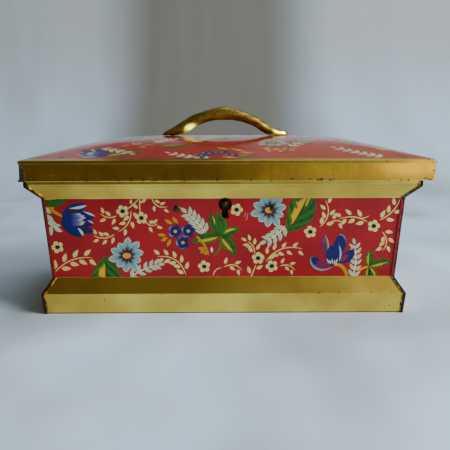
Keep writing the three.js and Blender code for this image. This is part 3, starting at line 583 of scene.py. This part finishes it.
class Print:
    """Ink shapes drawn flat in metres, then cut to the printed field and laid on the metal."""

    def __init__(self):
        self.mesh = bmesh.new()
        self.ink = self.mesh.verts.layers.float_color.new("ink")
        self.at(0, 0)

    def at(self, x, z, turn=0, size=1.0):
        """What is drawn next has its middle here, in millimetres, turned by this many degrees."""
        self.middle = Vector((x, z)) * mm
        self.size = size
        self.turn = Matrix.Rotation(math.radians(turn), 2)
        return self

    def spot(self, x, z):
        """A point given in millimetres round the middle, in metres from the print's own origin."""
        return self.turn @ Vector((x, z)) * self.size * mm + self.middle

    def plate(self):
        """The shapes drawn so far, as a mesh that other prints can be stamped with."""
        data = bpy.data.meshes.new("plate")
        self.mesh.to_mesh(data)
        self.mesh.free()
        return data

    def stamp(self, plate, x=0, z=0):
        """Adds a plate's shapes, moved by millimetres."""
        before = len(self.mesh.verts)
        self.mesh.from_mesh(plate)
        fresh = self.mesh.verts[:][before:]
        bmesh.ops.translate(self.mesh, vec=(x * mm, z * mm, 0), verts=fresh)

    def blade(self, start, end, width, shade, layer=1, bow=0.0, belly=0.5, blunt=1.0, cells=(8, 4), teeth=0):
        """A leaf or petal: it widens from start to its belly and closes at end, bent to one side by bow."""
        along, across = cells
        made = bmesh.ops.create_grid(self.mesh, x_segments=along, y_segments=across, size=1)["verts"]
        start, end = self.spot(*start), self.spot(*end)
        line = end - start
        side = Vector((-line.y, line.x)).normalized()
        crown = (start + end) / 2 + side * line.length * bow
        power = math.log(0.5) / math.log(belly)
        half = width / 2 * self.size * mm
        for vertex in made:
            u, v = (vertex.co.x + 1) / 2, vertex.co.y
            spine = start * (1 - u) ** 2 + crown * 2 * u * (1 - u) + end * u * u
            heading = ((crown - start) * (1 - u) + (end - crown) * u).normalized()
            closed = not 0.001 < u < 0.999
            spread = 0 if closed else math.sin(math.pi * u**power) ** blunt
            if teeth and abs(v) > 0.9:
                notch = 0.16 * (u * teeth % 1)
                spread *= 1 - notch
            place = spine + Vector((-heading.y, heading.x)) * half * spread * v
            vertex.co = (place.x, place.y, layer)
            vertex[self.ink] = shade(u, v) if callable(shade) else shade
        bmesh.ops.remove_doubles(self.mesh, verts=made, dist=0.02 * mm)

    def stem(self, start, bend, end, width=0.55, shade=STEM, layer=0):
        """A thin stalk through three points, fading out to a point."""
        start, bend, end = Vector(start), Vector(bend), Vector(end)
        line = end - start
        off = bend - (start + end) / 2
        side = Vector((-line.y, line.x)).normalized()
        bow = off.dot(side) / line.length * 2
        self.blade(start, end, width, shade, layer, bow, belly=0.35, blunt=0.35, cells=(12, 2))

    def disc(self, x, z, across, shade, layer=3, flat=1.0):
        """A round spot, such as a flower's eye, lower than it is wide where flat is under 1."""
        shape = {"cap_ends": True, "cap_tris": True, "segments": 12, "radius": across / 2}
        for vertex in bmesh.ops.create_circle(self.mesh, **shape)["verts"]:
            place = self.spot(x + vertex.co.x, z + vertex.co.y * flat)
            vertex.co = (place.x, place.y, layer)
            vertex[self.ink] = shade

    def spray(self, start, bend, end, pairs=4, leaf=5.0, kind="cream", tip=True):
        """A curved stem with leaves on both sides. Cream leaves stand off it, and fern leaves touch."""
        fern = kind == "fern"
        inner, edge = (FERN, FERN_EDGE) if fern else (CREAM, CREAM_EDGE)
        start, bend, end = Vector(start), Vector(bend), Vector(end)
        self.stem(start, bend, end, 0.9 if fern else 0.75, edge if fern else STEM)
        control = bend * 2 - (start + end) / 2
        lean = math.radians(44 if fern else 40)
        shade = self.leaf_shade(inner, edge)
        for step in range(pairs):
            for side in (1, -1):
                u = (step + (0.3 if side > 0 or fern else 0.75)) / (pairs + 0.1)
                point = start * (1 - u) ** 2 + control * 2 * u * (1 - u) + end * u * u
                heading = ((control - start) * (1 - u) + (end - control) * u).normalized()
                aim = Matrix.Rotation(lean * side, 2) @ heading
                size = leaf * (1 - 0.12 * u)
                stalk = aim * 0.3 if fern else Matrix.Rotation(side * 1.4, 2) @ heading * 1.3
                root = point + stalk
                width = size * (0.42 if fern else 0.46)
                self.blade(root, root + aim * size, width, shade, bow=0.05 * side, belly=0.4)
        if tip:
            last = (end - control).normalized()
            root = end + last * (0 if fern else 0.6)
            self.blade(root, root + last * leaf * 0.85, leaf * 0.36, shade, belly=0.45)

    @staticmethod
    def leaf_shade(inner, edge):
        """Ink that changes from the inner tone to the edge's tone, and starts paler at the foot."""
        return lambda u, v: tone(inner, edge, (abs(v) - 0.4) / 0.6 + (0.3 if u < 0.1 else 0))

    def cream_flower(self, turn=0):
        """Five round cream petals, parted almost to the navy eye."""
        shade = lambda u, v: tone(CREAM, CREAM_EDGE, max(abs(v), u) * 1.5 - 0.6)
        for step in range(5):
            angle = math.radians(90 + turn + 72 * step)
            out = Vector((math.cos(angle), math.sin(angle)))
            self.blade(out * 0.2, out * 4.15, 3.15, shade, layer=2, belly=0.66, blunt=0.6)
        self.disc(0, 0, 3.2, NAVY, 3, 0.88)

    def blue_flower(self, turn=0):
        """A small blue flower with pale rims on its lit side and an orange eye."""
        for step in range(5):
            angle = math.radians(70 + turn + 72 * step)
            out = Vector((math.cos(angle), math.sin(angle)))
            lit = max(0, -out.x) * 0.9
            shade = lambda u, v, lit=lit: tone(BLUE, SKY, lit * ((u - 0.72) * 5 + (v > 0.4) * 0.6))
            self.blade(out * 0.2, out * 4.6, 3.7, shade, layer=2, belly=0.62, blunt=0.6, cells=(10, 6))
            self.blade(out * 1.4, out * 3.2, 0.5, NAVY, layer=2.3, cells=(3, 2))
        self.disc(0, 0, 2.2, YELLOW)
        self.disc(0.1, 0.1, 1.1, ORANGE, 3.3)

    def daisy(self, petals=10, reach=12.5):
        """Long pointed petals, parted halfway in, with plum streaks running out of an orange eye."""

        def shade(u, v):
            fold = 0.5 * (v < -0.1) * (u < 0.7)
            petal = tone(PETAL, PETAL_EDGE, (abs(v) - 0.5) * 2.6 + (u - 0.8) * 3 - fold)
            return tone(petal, PLUM, (0.36 + 0.1 * (round(v * 5) % 2) - u) * 4)

        self.disc(0, 0, 8.4, PLUM, 1.2, 0.85)
        for step in range(petals):
            angle = 84 + 360 / petals * step
            size = reach * (1 - 0.1 * (step * 2 % 3))
            out = Matrix.Rotation(math.radians(angle), 2) @ Vector((1, 0))
            layer = 2 - 0.3 * (step % 2)
            self.blade(out * 1.2, out * size, 4.9, shade, layer, 0.04, belly=0.62, blunt=0.8, cells=(16, 10))
            for spread, run in ((-8, 0.56), (1, 0.7), (9, 0.54)):
                vein = Matrix.Rotation(math.radians(angle + spread), 2) @ Vector((1, 0))
                tip = vein * size * run
                self.blade(vein * 2.2, tip, 0.6, PLUM, 2.4, 0.04, belly=0.3, blunt=0.9, cells=(6, 2))
        self.disc(0, 0, 5.6, YELLOW, 3, 0.68)
        self.disc(0.3, -0.2, 4.2, ORANGE, 3.3, 0.62)

    def leaf(self, start, end, width, teeth=9, bow=0.0, layer=1, lit=1):
        """A serrated leaf: green, with dark strokes, and yellow beside the rib on the lit side."""
        strokes = teeth * 2.5

        def shade(u, v):
            stroke = (u * strokes - abs(v) * 1.6) % 1
            green = tone(GREEN, DEEP_GREEN, 0.9 * (stroke < 0.4) + 0.25 * (v * lit < 0))
            glow = 0 < v * lit < (0.66 - 0.3 * stroke) * math.sin(math.pi * min(u * 1.2, 1)) ** 0.6
            return YELLOW if glow and u > 0.04 else green

        cells = (26, 14) if width > 10 else (18, 10)
        self.blade(start, end, width, shade, layer, bow, belly=0.45, blunt=0.8, cells=cells, teeth=teeth)
        rib = width * 0.06
        self.blade(start, end, rib, DEEP_GREEN, layer + 0.2, bow, belly=0.3, blunt=0.4, cells=(10, 2))

    def tulip(self):
        """A blue tulip seen from the side: a bell of petals whose tips curl out to the right."""
        petal = lambda u, v: tone(BLUE, NAVY, -v * 0.8)
        glow = lambda u, v: tone(tone(BLUE, LILAC, u * 1.1 - 0.1), PETAL_EDGE, u * 3 - 1.9)
        rim = tone(SKY, PETAL_EDGE, 0.6)
        for tip, width, bow, layer in (
            ((15.4, 8.0), 6.8, 0.2, 1), ((20.6, 0.4), 8.0, 0.12, 1.1), ((19.4, -4.2), 8.6, 0.0, 1.2),
            ((19.2, -9.4), 8.0, -0.1, 1.1), ((12.2, -12.4), 6.6, -0.2, 1.3),
        ):
            self.blade((-0.6, -0.9), tip, width, petal, layer, bow, belly=0.42, blunt=0.6, cells=(14, 6))
        for start, end, width in (
            ((0.8, 2.8), (10.4, 4.6), 2.9), ((10.4, -6.2), (16.2, -7.8), 2.6),
            ((12.6, -2.2), (17.6, -3.0), 1.9),
        ):
            self.blade(start, end, width, PLUM, 1.5, 0.06, blunt=0.8)
        for start, end, width, bow in (
            ((3.4, 5.9), (15.4, 7.9), 1.9, -0.1), ((12.4, 3.9), (20.6, 0.4), 1.3, 0.06),
            ((15.2, -2.0), (19.2, -4.1), 0.9, 0.06), ((8.6, -6.8), (12.2, -12.3), 1.8, 0.14),
        ):
            self.blade(start, end, width, rim, 1.8, bow, belly=0.6, blunt=0.8, cells=(8, 2))
        for lift, size in (
            (2.2, 11.6), (0.9, 13.8), (-0.4, 14.6), (-1.8, 12.6), (-3.2, 14.0), (-4.4, 13.2),
        ):
            start, end = (2.8, lift * 0.8 - 0.6), (size, lift * 0.9)
            self.blade(start, end, 1.5, glow, 2, 0.04 * lift, belly=0.66, blunt=0.8, cells=(10, 2))

    def parrot_tulip(self):
        """A tall dark tulip with curled petals, blue without and plum within."""
        plum = lambda u, v: tone(tone(PLUM, BLUE, 0.3), ROSE, 0.75 * (round(v * 4) % 2) * (u > 0.12))
        blue = lambda u, v: tone(BLUE, PLUM, 0.8 * (round(v * 5) % 2) * (u > 0.3) + (0.2 - u))
        rim_right = lambda u, v: tone(plum(u, v), SKY, (-v - 0.55) * 2.6)
        rim_left = lambda u, v: tone(blue(u, v) if u > 0.7 else plum(u, v), SKY, (v - 0.6) * 3)
        rim_top = lambda u, v: tone(blue(u, v), SKY, (u - 0.8) * 4 + (-v - 0.75) * 2)
        for start, end, width, shade, layer, bow, belly, blunt, cells in (
            ((-3, 1), (-7.4, 19.6), 5.8, rim_right, 1, 0.16, 0.66, 0.7, (14, 8)),
            ((-7.8, 13), (-7.4, 18), 2.0, ROSE, 1.2, 0, 0.55, 0.8, (6, 2)),
            ((0, 2), (3.4, 19.8), 8.0, rim_top, 1.2, -0.12, 0.64, 0.6, (14, 8)),
            ((0.4, 0.4), (12.0, 9.6), 6.4, blue, 1.5, -0.24, 0.6, 0.7, (14, 8)),
            ((2.4, 1.4), (8.6, 6.6), 3.2, plum, 1.7, -0.16, 0.5, 0.7, (8, 6)),
            ((-0.4, -1.0), (-15.6, 4.6), 7.4, rim_left, 1.6, 0.4, 0.6, 0.6, (18, 8)),
            ((-0.6, 0.2), (-2.4, 12.4), 10.6, blue, 2, -0.05, 0.4, 0.62, (12, 10)),
            ((2.6, 1.2), (2.4, 12.4), 1.3, SKY, 2.2, -0.2, 0.5, 0.7, (8, 2)),
        ):
            self.blade(start, end, width, shade, layer, bow, belly, blunt, cells)
        pale = tone(SKY, PETAL_EDGE, 0.6)
        for step in range(5):
            root, tip = (-3.6 + step * 1.0, -0.2), (-5.4 + step * 1.8, 3.6 - step % 2)
            self.blade(root, tip, 0.9, pale, layer=2.3, belly=0.35, blunt=0.8, cells=(4, 2))
        self.disc(0.8, -0.6, 2.4, YELLOW, 2.6)

    def five_leaf(self):
        """Five serrated leaves from one point."""
        for tip, width, bow, lit in (
            ((-5.6, 16.4), 6.4, 0.12, -1), ((-1.6, 16.0), 8.6, -0.16, 0), ((13.0, 4.8), 7.6, 0.06, 1),
            ((9.9, -13.2), 8.2, 0.14, -1), ((-18.2, -4.0), 8.0, -0.06, 1),
        ):
            self.leaf((0, 0), tip, width, 7, bow, 1.0 + 0.1 * (lit == 0), lit)
        self.stem((0.2, 1), (0.2, -7), (-4.6, -13.4), 1.4, GREEN, 2)

    def lay(self, name, body, material, surface, field, low, high, cutters=()):
        """Cuts the ink to its field and lays it on the metal. In the map each layer has its own strip."""
        mesh = self.mesh
        for point, outward in field:
            geom = mesh.verts[:] + mesh.edges[:] + mesh.faces[:]
            plane = {"plane_co": (*point, 0), "plane_no": Vector((*outward, 0)).normalized()}
            bmesh.ops.bisect_plane(mesh, geom=geom, clear_outer=True, **plane)
        atlas = mesh.loops.layers.uv.new("OFBake")
        for face in mesh.faces:
            for loop in face.loops:
                x, z, layer = loop.vert.co
                strip = min(int(layer + 0.01), STRIPS - 1)
                across = (x - low[0]) / (high[0] - low[0])
                up = (z - low[1]) / (high[1] - low[1])
                loop[atlas].uv = (across, (strip + up) / STRIPS)
            face.smooth = True
        for vertex in mesh.verts:
            x, z, layer = vertex.co
            for (hole_x, hole_z), radius in cutters:
                away = Vector((x - hole_x, z - hole_z))
                if 0 < away.length < radius:
                    x, z = Vector((hole_x, hole_z)) + away.normalized() * radius
            vertex.co = surface(x, z, FILM + LAYER * layer)
        bmesh.ops.recalc_face_normals(mesh, faces=mesh.faces)
        for face in mesh.faces:
            if face.normal.dot(surface(*low, 1.0) - surface(*low, 0.0)) < 0:
                face.normal_flip()
        return add_piece(name, mesh, body, "printed_enamel", material)


def ink_finish(name, varnish):
    """The inks as they were drawn, metallic where they are thin, with pinholes down to the tin."""
    finish = Finish(name, **varnish)
    drawn = {"attribute_name": "ink"}
    ink = finish.place.node("ShaderNodeAttribute", drawn, {}, "Color")
    shine = 1 - finish.place.node("ShaderNodeAttribute", drawn, {}, "Alpha")
    wear = finish.place.specks(5 * mm, 0.5 * mm, 0.2)
    finish.set("Base Color", wear.mix(ink, colour("a8834a")))
    finish.set("Metallic", shine.most(wear * 0.6))
    finish.set("Roughness", shine * -0.1 + wear * 0.1 + 0.36)
    finish.relief(buckles(finish))
    return finish.material


def draw_flowers(ink):
    """The flowers and leaves of one printed wall, in millimetres from the middle of its foot."""
    for x, z, turn in (
        (-108.1, 43.6, 22), (-65, 67.3, 24), (-53, 62.8, 4), (8.5, 68, -20), (-12.7, 30.2, 8),
        (22.6, 35.7, 0), (31.6, 30.3, 24), (56.4, 53.2, 10), (97.5, 56.9, -14),
    ):
        ink.at(x, z).cream_flower(turn)
    for x, z, turn in ((-31.2, 53.8, 0), (-22.8, 54, 18), (-26.4, 46.3, 40)):
        ink.at(x, z).blue_flower(turn)
    ink.at(-63.1, 37.7).daisy()
    ink.at(29.6, 67.6).daisy()
    ink.at(-103.2, 63.4).tulip()
    ink.at(72.9, 31.9).parrot_tulip()
    ink.at(-2.2, 50.6).five_leaf()
    ink.at(0, 0)
    ink.leaf((-78.4, 13), (-77.8, 37.4), 20, 9, -0.1)
    ink.leaf((55.4, 79), (41.2, 53.2), 19, 9, 0.1, lit=-1)
    ink.leaf((-99, 77.6), (-122, 76), 9.4, 5, 0.2, lit=-1)
    for tip, width, bow, lit in (
        ((95.6, 41.5), 6.2, 0, 1), ((110.4, 33.1), 6.2, 0.1, -1), ((101, 20), 5.6, 0, 1),
        ((94.2, 20), 4.4, 0, -1),
    ):
        ink.leaf((95.3, 29.7), tip, width, 5, bow, lit=lit)
    ink.stem((-120, 74.4), (-112, 69), (-103, 63.4), 2.4, OCHRE)
    ink.stem((-109.6, 68.6), (-110, 69.8), (-109.2, 71.6), 1.6, OCHRE)
    ink.stem((74, 31.8), (77.6, 30.6), (81, 21), 2.4, OCHRE)
    ink.stem((95, 29.6), (91, 28.6), (87, 23), 1.3, YELLOW)
    ink.stem((57, 79), (55, 75), (53, 70), 1.5, YELLOW, 2)
    ink.stem((-18, 51), (-13.6, 46.4), (-9.4, 37.4), 1.4, OCHRE, 2)
    for tip in ((-16.6, 43), (-15.4, 39.6), (-12.2, 37.8)):
        ink.blade((-10.8, 41.6), tip, 2.6, OCHRE, 2.2, 0.1)
    for root, tip in (
        ((-32.8, 58.8), (-37.9, 61.9)), ((-29.2, 59), (-33, 63.5)), ((-37.2, 51.3), (-42.9, 52)),
        ((-36.3, 49.9), (-40.8, 47.6)), ((-34.4, 48.8), (-36.9, 43.8)),
    ):
        ink.blade(root, tip, 2.3, OCHRE, bow=0.08)


def draw_sprays(ink):
    """The leafy sprays between the flowers of a printed wall."""
    for start, bend, end, pairs, leaf in (
        ((-117.4, 72), (-114.6, 61.6), (-109.8, 56.4), 4, 7.2),
        ((-62, 22.5), (-51, 29), (-43, 31.6), 5, 5.6),
        ((-11.2, 52.2), (-17, 59.8), (-23.4, 66), 5, 6.6),
        ((40.2, 57.6), (34.6, 51.4), (28, 47.2), 4, 6.6),
        ((84.7, 22), (86.6, 34), (85.6, 44.6), 6, 5.4),
    ):
        ink.spray(start, bend, end, pairs, leaf, "fern")
    for start, bend, end, pairs, leaf in (
        ((-111, 26), (-99.4, 34.8), (-85, 36.3), 4, 6.6),
        ((-62, 68.7), (-57, 72.6), (-53.6, 76), 1, 3.4),
        ((-68.6, 64.4), (-74.1, 63.2), (-79.7, 66), 2, 4.8),
        ((-59.5, 68), (-61.2, 60), (-68.8, 53.4), 3, 5.2),
        ((-70.6, 52), (-77, 49.6), (-84.6, 51.5), 3, 4.6),
        ((-53.6, 66.6), (-53.9, 71), (-53.4, 76), 1, 4.8),
        ((-50.4, 60.2), (-46.5, 57.8), (-42.4, 59), 2, 4.4),
        ((-46.1, 76), (-42.6, 70.8), (-35.6, 70.3), 2, 4.2),
        ((-24.6, 24), (-31, 34.4), (-43.8, 37), 5, 5.4),
        ((0, 29.6), (5.4, 31.4), (12.4, 27.3), 2, 4.8),
        ((17.6, 22), (19.6, 27), (21.4, 31.6), 1, 5.4),
        ((27.4, 33), (34, 40.4), (52, 41.6), 5, 5.0),
        ((36.8, 30.2), (41.6, 31), (47, 27.2), 2, 4.2),
        ((62.2, 56.2), (67.4, 63), (65.4, 74.6), 3, 5.2),
        ((68.4, 58.8), (73.4, 60.6), (78.6, 58), 1, 4.6),
        ((93.6, 59.4), (84, 63), (74.6, 61.4), 3, 5.6),
        ((100.6, 60.6), (108.4, 65.6), (114.2, 75.6), 3, 5.6),
        ((103, 53.2), (106.2, 47.6), (103.6, 40), 3, 5.2),
    ):
        ink.spray(start, bend, end, pairs, leaf, tip=False)
    ink.spray((20.2, 38.6), (19.4, 43.4), (15.6, 47), 3, 4.9)
    ink.stem((-6.8, 24), (-4.6, 28.2), (-0.9, 29.3), 0.75)
    ink.stem((88.6, 62.2), (91.4, 62.4), (94.4, 63.8), 0.6)
    ink.blade((-7.9, 43.6), (-7.4, 39.4), 1.7, PETAL_EDGE)


plates = []
for draw in (draw_flowers, draw_sprays):
    ink = Print()
    draw(ink)
    plates.append(ink.plate())

WALL_FOOT = FOOT_BREADTH + BASE_SPREAD - PLINTH_STEP
WALL_FOOT_LENGTH = FOOT_LENGTH + BASE_SPREAD - PLINTH_STEP
LEAN = WALL_FLARE / (WALL_TOP - WAIST)


def wall_surface(turns, foot):
    """Where a flat point of a print comes on a wall, lifted along the wall's own normal."""
    turned = Matrix.Rotation(turns * math.pi / 2, 3, "Z")
    tilt = math.atan(LEAN)

    def place(x, z, lift):
        out = foot + LEAN * (z - WAIST) + lift * math.cos(tilt)
        return turned @ Vector((x, -out, z - lift * math.sin(tilt)))

    return place


inks = ink_finish("printed_inks", VARNISH)
lid_inks = ink_finish("printed_lid_inks", LID_VARNISH)
KEYHOLE_X, KEYHOLE_Z, KEYHOLE_RIM = 1.1 * mm, 71.65 * mm, 4.8 * mm
SLOT_DROP, SLOT_RIM = 6 * mm, 3.0 * mm
SEAM_GAP, FOOT_GAP, HEAD_GAP = 0.9 * mm, 0.3 * mm, 0.4 * mm
MAP_MARGIN = 6 * mm
WALL_PRINTS = (
    ("front", 0, WALL_FOOT, WALL_FOOT_LENGTH, (0,)),
    ("right", 1, WALL_FOOT_LENGTH, WALL_FOOT, (-38,)),
    ("back", 2, WALL_FOOT, WALL_FOOT_LENGTH, (100, -132)),
    ("left", 3, WALL_FOOT_LENGTH, WALL_FOOT, (46,)),
)
for side, turns, depth, length, shifts in WALL_PRINTS:
    ink = Print()
    for shift in shifts:
        for plate in plates:
            ink.stamp(plate, shift)
    end = length - SEAM_GAP
    low, high = (-length - MAP_MARGIN, WAIST), (length + MAP_MARGIN, WALL_TOP)
    field = [((0, WAIST + FOOT_GAP), (0, -1)), ((0, WALL_TOP - HEAD_GAP), (0, 1))]
    field += [((s * end, WAIST), (s, -LEAN)) for s in (1, -1)]
    holes = ()
    if side == "front":
        holes = (
            ((KEYHOLE_X, KEYHOLE_Z), KEYHOLE_RIM),
            ((KEYHOLE_X, KEYHOLE_Z - SLOT_DROP), SLOT_RIM),
        )
        ink.at(0, 0)
        for root, tip, width in (
            ((14.4, 66.6), (13, 62.8), 0.5), ((15.6, 66), (14.8, 61.6), 0.6),
            ((15.8, 62.2), (14.2, 61.2), 0.5), ((112.9, 46.8), (111.4, 46.2), 0.9),
            ((112.4, 41.2), (110.9, 40.6), 0.8),
        ):
            ink.blade(root, tip, width, SCRATCH, 3, 0.1, blunt=0.8, cells=(6, 2))
    surface = wall_surface(turns, depth)
    ink.lay(f"{side}_print", "body", inks, surface, field, low, high, holes)


def draw_lid_front(ink):
    """The flowers on the slope above the keyhole, in millimetres from the body's middle."""
    ink.at(-74.5, -74, 176, 0.95).tulip()
    for x, y, turn in ((-9, -72, 10), (-1, -69, 50), (6, -75, 30), (-14, -77, 0)):
        ink.at(x, y).blue_flower(turn)
    ink.at(33, -44, 12, 0.95).daisy(9, 12)
    ink.at(-58, -46, 0, 0.8).cream_flower()
    for x, y, turn in ((104, -62, 20), (-112, -50, 4), (62, -20, 12)):
        ink.at(x, y).cream_flower(turn)
    ink.at(0, 0)
    for start, end, width, teeth, bow in (
        ((-74, -80), (-51, -67), 9, 7, 0.1), ((-42, -54), (-22, -48), 8, 7, -0.08),
        ((-5, -31), (5, -22), 7, 5, 0), ((9, -80), (20, -76), 6, 5, 0),
        ((48, -44), (60, -37), 7, 5, 0), ((92, -44), (76, -32), 8, 7, 0.1),
    ):
        ink.leaf(start, end, width, teeth, bow)
    for root, tip in (
        ((-5, -58), (4, -63)), ((4, -60), (15, -69)), ((10, -72), (20, -70)), ((-1, -80), (9, -82)),
    ):
        ink.blade(root, tip, 3.2, ORANGE, bow=0.08)
    for root, tip in (((-54, -50), (-45, -50)), ((-56, -53), (-50, -58)), ((-62, -50), (-68, -54))):
        ink.blade(root, tip, 3.0, OCHRE, bow=0.08)
    for start, bend, end, pairs, leaf, kind in (
        ((-80, -60), (-70, -64), (-60, -71), 4, 6.4, "fern"),
        ((-47, -42), (-38, -34), (-29, -22), 5, 6.2, "fern"),
        ((-20, -42), (-11, -28), (-2, -17), 6, 6.2, "fern"),
        ((-8, -81), (-21, -79), (-34, -71), 5, 6.0, "fern"),
        ((44, -56), (53, -43), (61, -33), 5, 6.0, "fern"),
        ((102, -81), (88, -72), (74, -59), 6, 6.2, "fern"),
        ((24, -60), (34, -64), (44, -62), 3, 5.0, "cream"),
        ((-100, -58), (-92, -48), (-84, -42), 4, 5.2, "cream"),
        ((110, -56), (112, -44), (104, -34), 3, 5.0, "cream"),
        ((10, -12), (22, -18), (36, -16), 4, 5.0, "cream"),
    ):
        ink.spray(start, bend, end, pairs, leaf, kind)
    strewn, spacing, reach = 34, 6.4, 4.4
    for step in range(strewn):
        x, y = -104 + step * spacing, -79 + step * 29 % 63
        tip = (x + reach, y + 1.2 * (step % 3 - 1))
        ink.blade((x, y), tip, 1.7, DEEP_GREEN, layer=0.5, bow=0.06, cells=(4, 2))


for half, low_y, high_y, rows in (
    ("front", BORDER - LID_BREADTH, 0.0, ((12, -36),)),
    ("back", 0.0, LID_BREADTH - BORDER, ((12, -36), (-96, 16), (138, 16))),
):
    ink = Print()
    if half == "front":
        draw_lid_front(ink)
    for x, y in rows:
        for plate in plates:
            ink.stamp(plate, x, y)
    west, east = LID_MIDDLE - LID_LENGTH + BORDER, LID_MIDDLE + LID_LENGTH - BORDER
    field = [((0, low_y), (0, -1)), ((0, high_y), (0, 1)), ((west, 0), (-1, 0)), ((east, 0), (1, 0))]
    ink.lay(f"lid_print_{half}", "lid", lid_inks, on_lid, field, (west, low_y), (east, high_y))

# Light and ground
# A pale cloth sweeps up behind the box. A window on the right and a dim room on the left light it, and two
# narrow sunbeams fall on the handle.
CLOTH_REACH = 2.2
SWEEP_START, SWEEP_RADIUS, SWEEP_STEPS = 0.62, 0.4, 12
BACKDROP_RISE = 1.4


def add_light(name, place, aim, size, power, tint):
    """A rectangular lamp at a place, turned to a point."""
    lamp = bpy.data.lights.new(name, "AREA")
    lamp.shape = "RECTANGLE"
    lamp.size, lamp.size_y = size
    lamp.energy = power
    lamp.color = colour(tint)[:3]
    obj = bpy.data.objects.new(name, lamp)
    obj.location = place
    obj.rotation_euler = (Vector(aim) - Vector(place)).to_track_quat("-Z", "Y").to_euler()
    bpy.context.scene.collection.objects.link(obj)
    return obj


def ground():
    """The cloth, pale to the camera, with painted shade on its middle behind the box and along its folds.
    In reflections it is dark in front on the left and high up behind the box, and warm high up on the
    right, as the room was."""
    mesh = bmesh.new()
    corners = bmesh.ops.create_grid(mesh, x_segments=1, y_segments=1, size=CLOTH_REACH)["verts"]
    for vertex in corners:
        if vertex.co.y > 0:
            vertex.co.y = SWEEP_START
    back = [e for e in mesh.edges if all(v.co.y > 0 for v in e.verts)]
    for step in range(1, SWEEP_STEPS + 1):
        turn = step / SWEEP_STEPS * math.pi / 2
        made = bmesh.ops.extrude_edge_only(mesh, edges=back)["geom"]
        back = [item for item in made if isinstance(item, bmesh.types.BMEdge)]
        back = [e for e in back if all(v in made for v in e.verts)]
        for vertex in {v for e in back for v in e.verts}:
            vertex.co.y = SWEEP_START + SWEEP_RADIUS * math.sin(turn)
            vertex.co.z = SWEEP_RADIUS - SWEEP_RADIUS * math.cos(turn)
    made = bmesh.ops.extrude_edge_only(mesh, edges=back)["geom"]
    top = [item for item in made if isinstance(item, bmesh.types.BMVert)]
    bmesh.ops.translate(mesh, verts=top, vec=(0, 0, BACKDROP_RISE))
    for face in mesh.faces:
        face.smooth = True
    finish = Finish("pale_cloth", Roughness=0.9, Specular_IOR_Level=0.1)
    seen = finish.place.node("ShaderNodeLightPath", {}, {}, "Is Camera Ray")
    away = (finish.y * -1 - finish.x * 1.3).rise(0.42, 0.7)
    high = finish.z.rise(0.36, 0.6) * (1 - seen)
    above = high * finish.x.rise(-0.34, -0.2) * finish.x.rise(0.12, 0.0)
    up = finish.z.rise(0.02, 0.3)
    pale = up.mix(colour("cce6ff"), colour("b9bfc0"))
    # Painted shade: a darker band on the backdrop behind the box, seen by the camera only.
    middle = finish.y.rise(0.66, 0.86) * abs(finish.x + 0.02).rise(0.24, 0.1) * seen
    folds = finish.place.stretched(1, 0.5, 0.15, (0.3, 0, 0)).noise(0.13, 2.0)
    # Painted shade along the folds, with the painted dark middle laid over the cloth's colour.
    pale = middle.mix(folds.rise(0.4, 0.75).mix(pale, colour("b3bfca")), colour("7b7a72"))
    warm = (high * finish.x.rise(0.0, 0.12)).mix(pale, colour("a4927a"))
    finish.set("Base Color", (away * (1 - seen)).most(above).mix(warm, colour("6a604e")))
    finish.relief(folds * 0.012)
    obj = make_object("ground", mesh, finish.material)


ground()
add_light("window", (1.1, -0.7, 0.75), (0, 0, 0.05), (0.8, 0.8), 30, "f3faff")
add_light("ceiling", (0.5, 0.1, 1.3), (0.1, 0, 0), (1.0, 1.2), 5, "f2f6ff")
for name, place, aim, size, power in (
    ("sun_on_right_foot", (0.14, -0.08, 0.145), (0.042, -0.003, 0.117), (0.007, 0.004), 0.012),
    ("sun_on_left_leg", (0.09, -0.1, 0.124), (-0.0235, -0.003, 0.119), (0.005, 0.003), 0.009),
):
    beam = add_light(name, place, aim, size, power, "e6ffae")
    beam.data.spread = math.radians(2)
    beam.visible_camera = False
spill = add_light("window_spill", (0.42, -0.62, 0.1), (0.12, 0, 0.09), (0.3, 0.2), 0.2, "ffcf50")
spill.visible_camera = False


def room():
    """A dim room on the left, a bright one on the right, as the gold sees them."""
    world = bpy.data.worlds.new("room")
    world.use_nodes = True
    bpy.context.scene.world = world
    tree = world.node_tree
    start = Wire(tree, None)
    way = start.node("ShaderNodeTexCoord", {}, {}, "Generated")
    x, y = way.part("X"), way.part("Y")
    bright = (x + y.rise(-0.2, 0.6) * 0.25).rise(-0.02, 0.32)
    shade = bright.mix(colour("60573f"), colour("e0dfd8"))
    seen = start.node("ShaderNodeLightPath", {}, {}, "Is Camera Ray")
    background = tree.nodes["Background"]
    tree.links.new(seen.mix(shade, colour("b2b7b9")).socket, background.inputs["Color"])
    background.inputs["Strength"].default_value = 0.8


room()
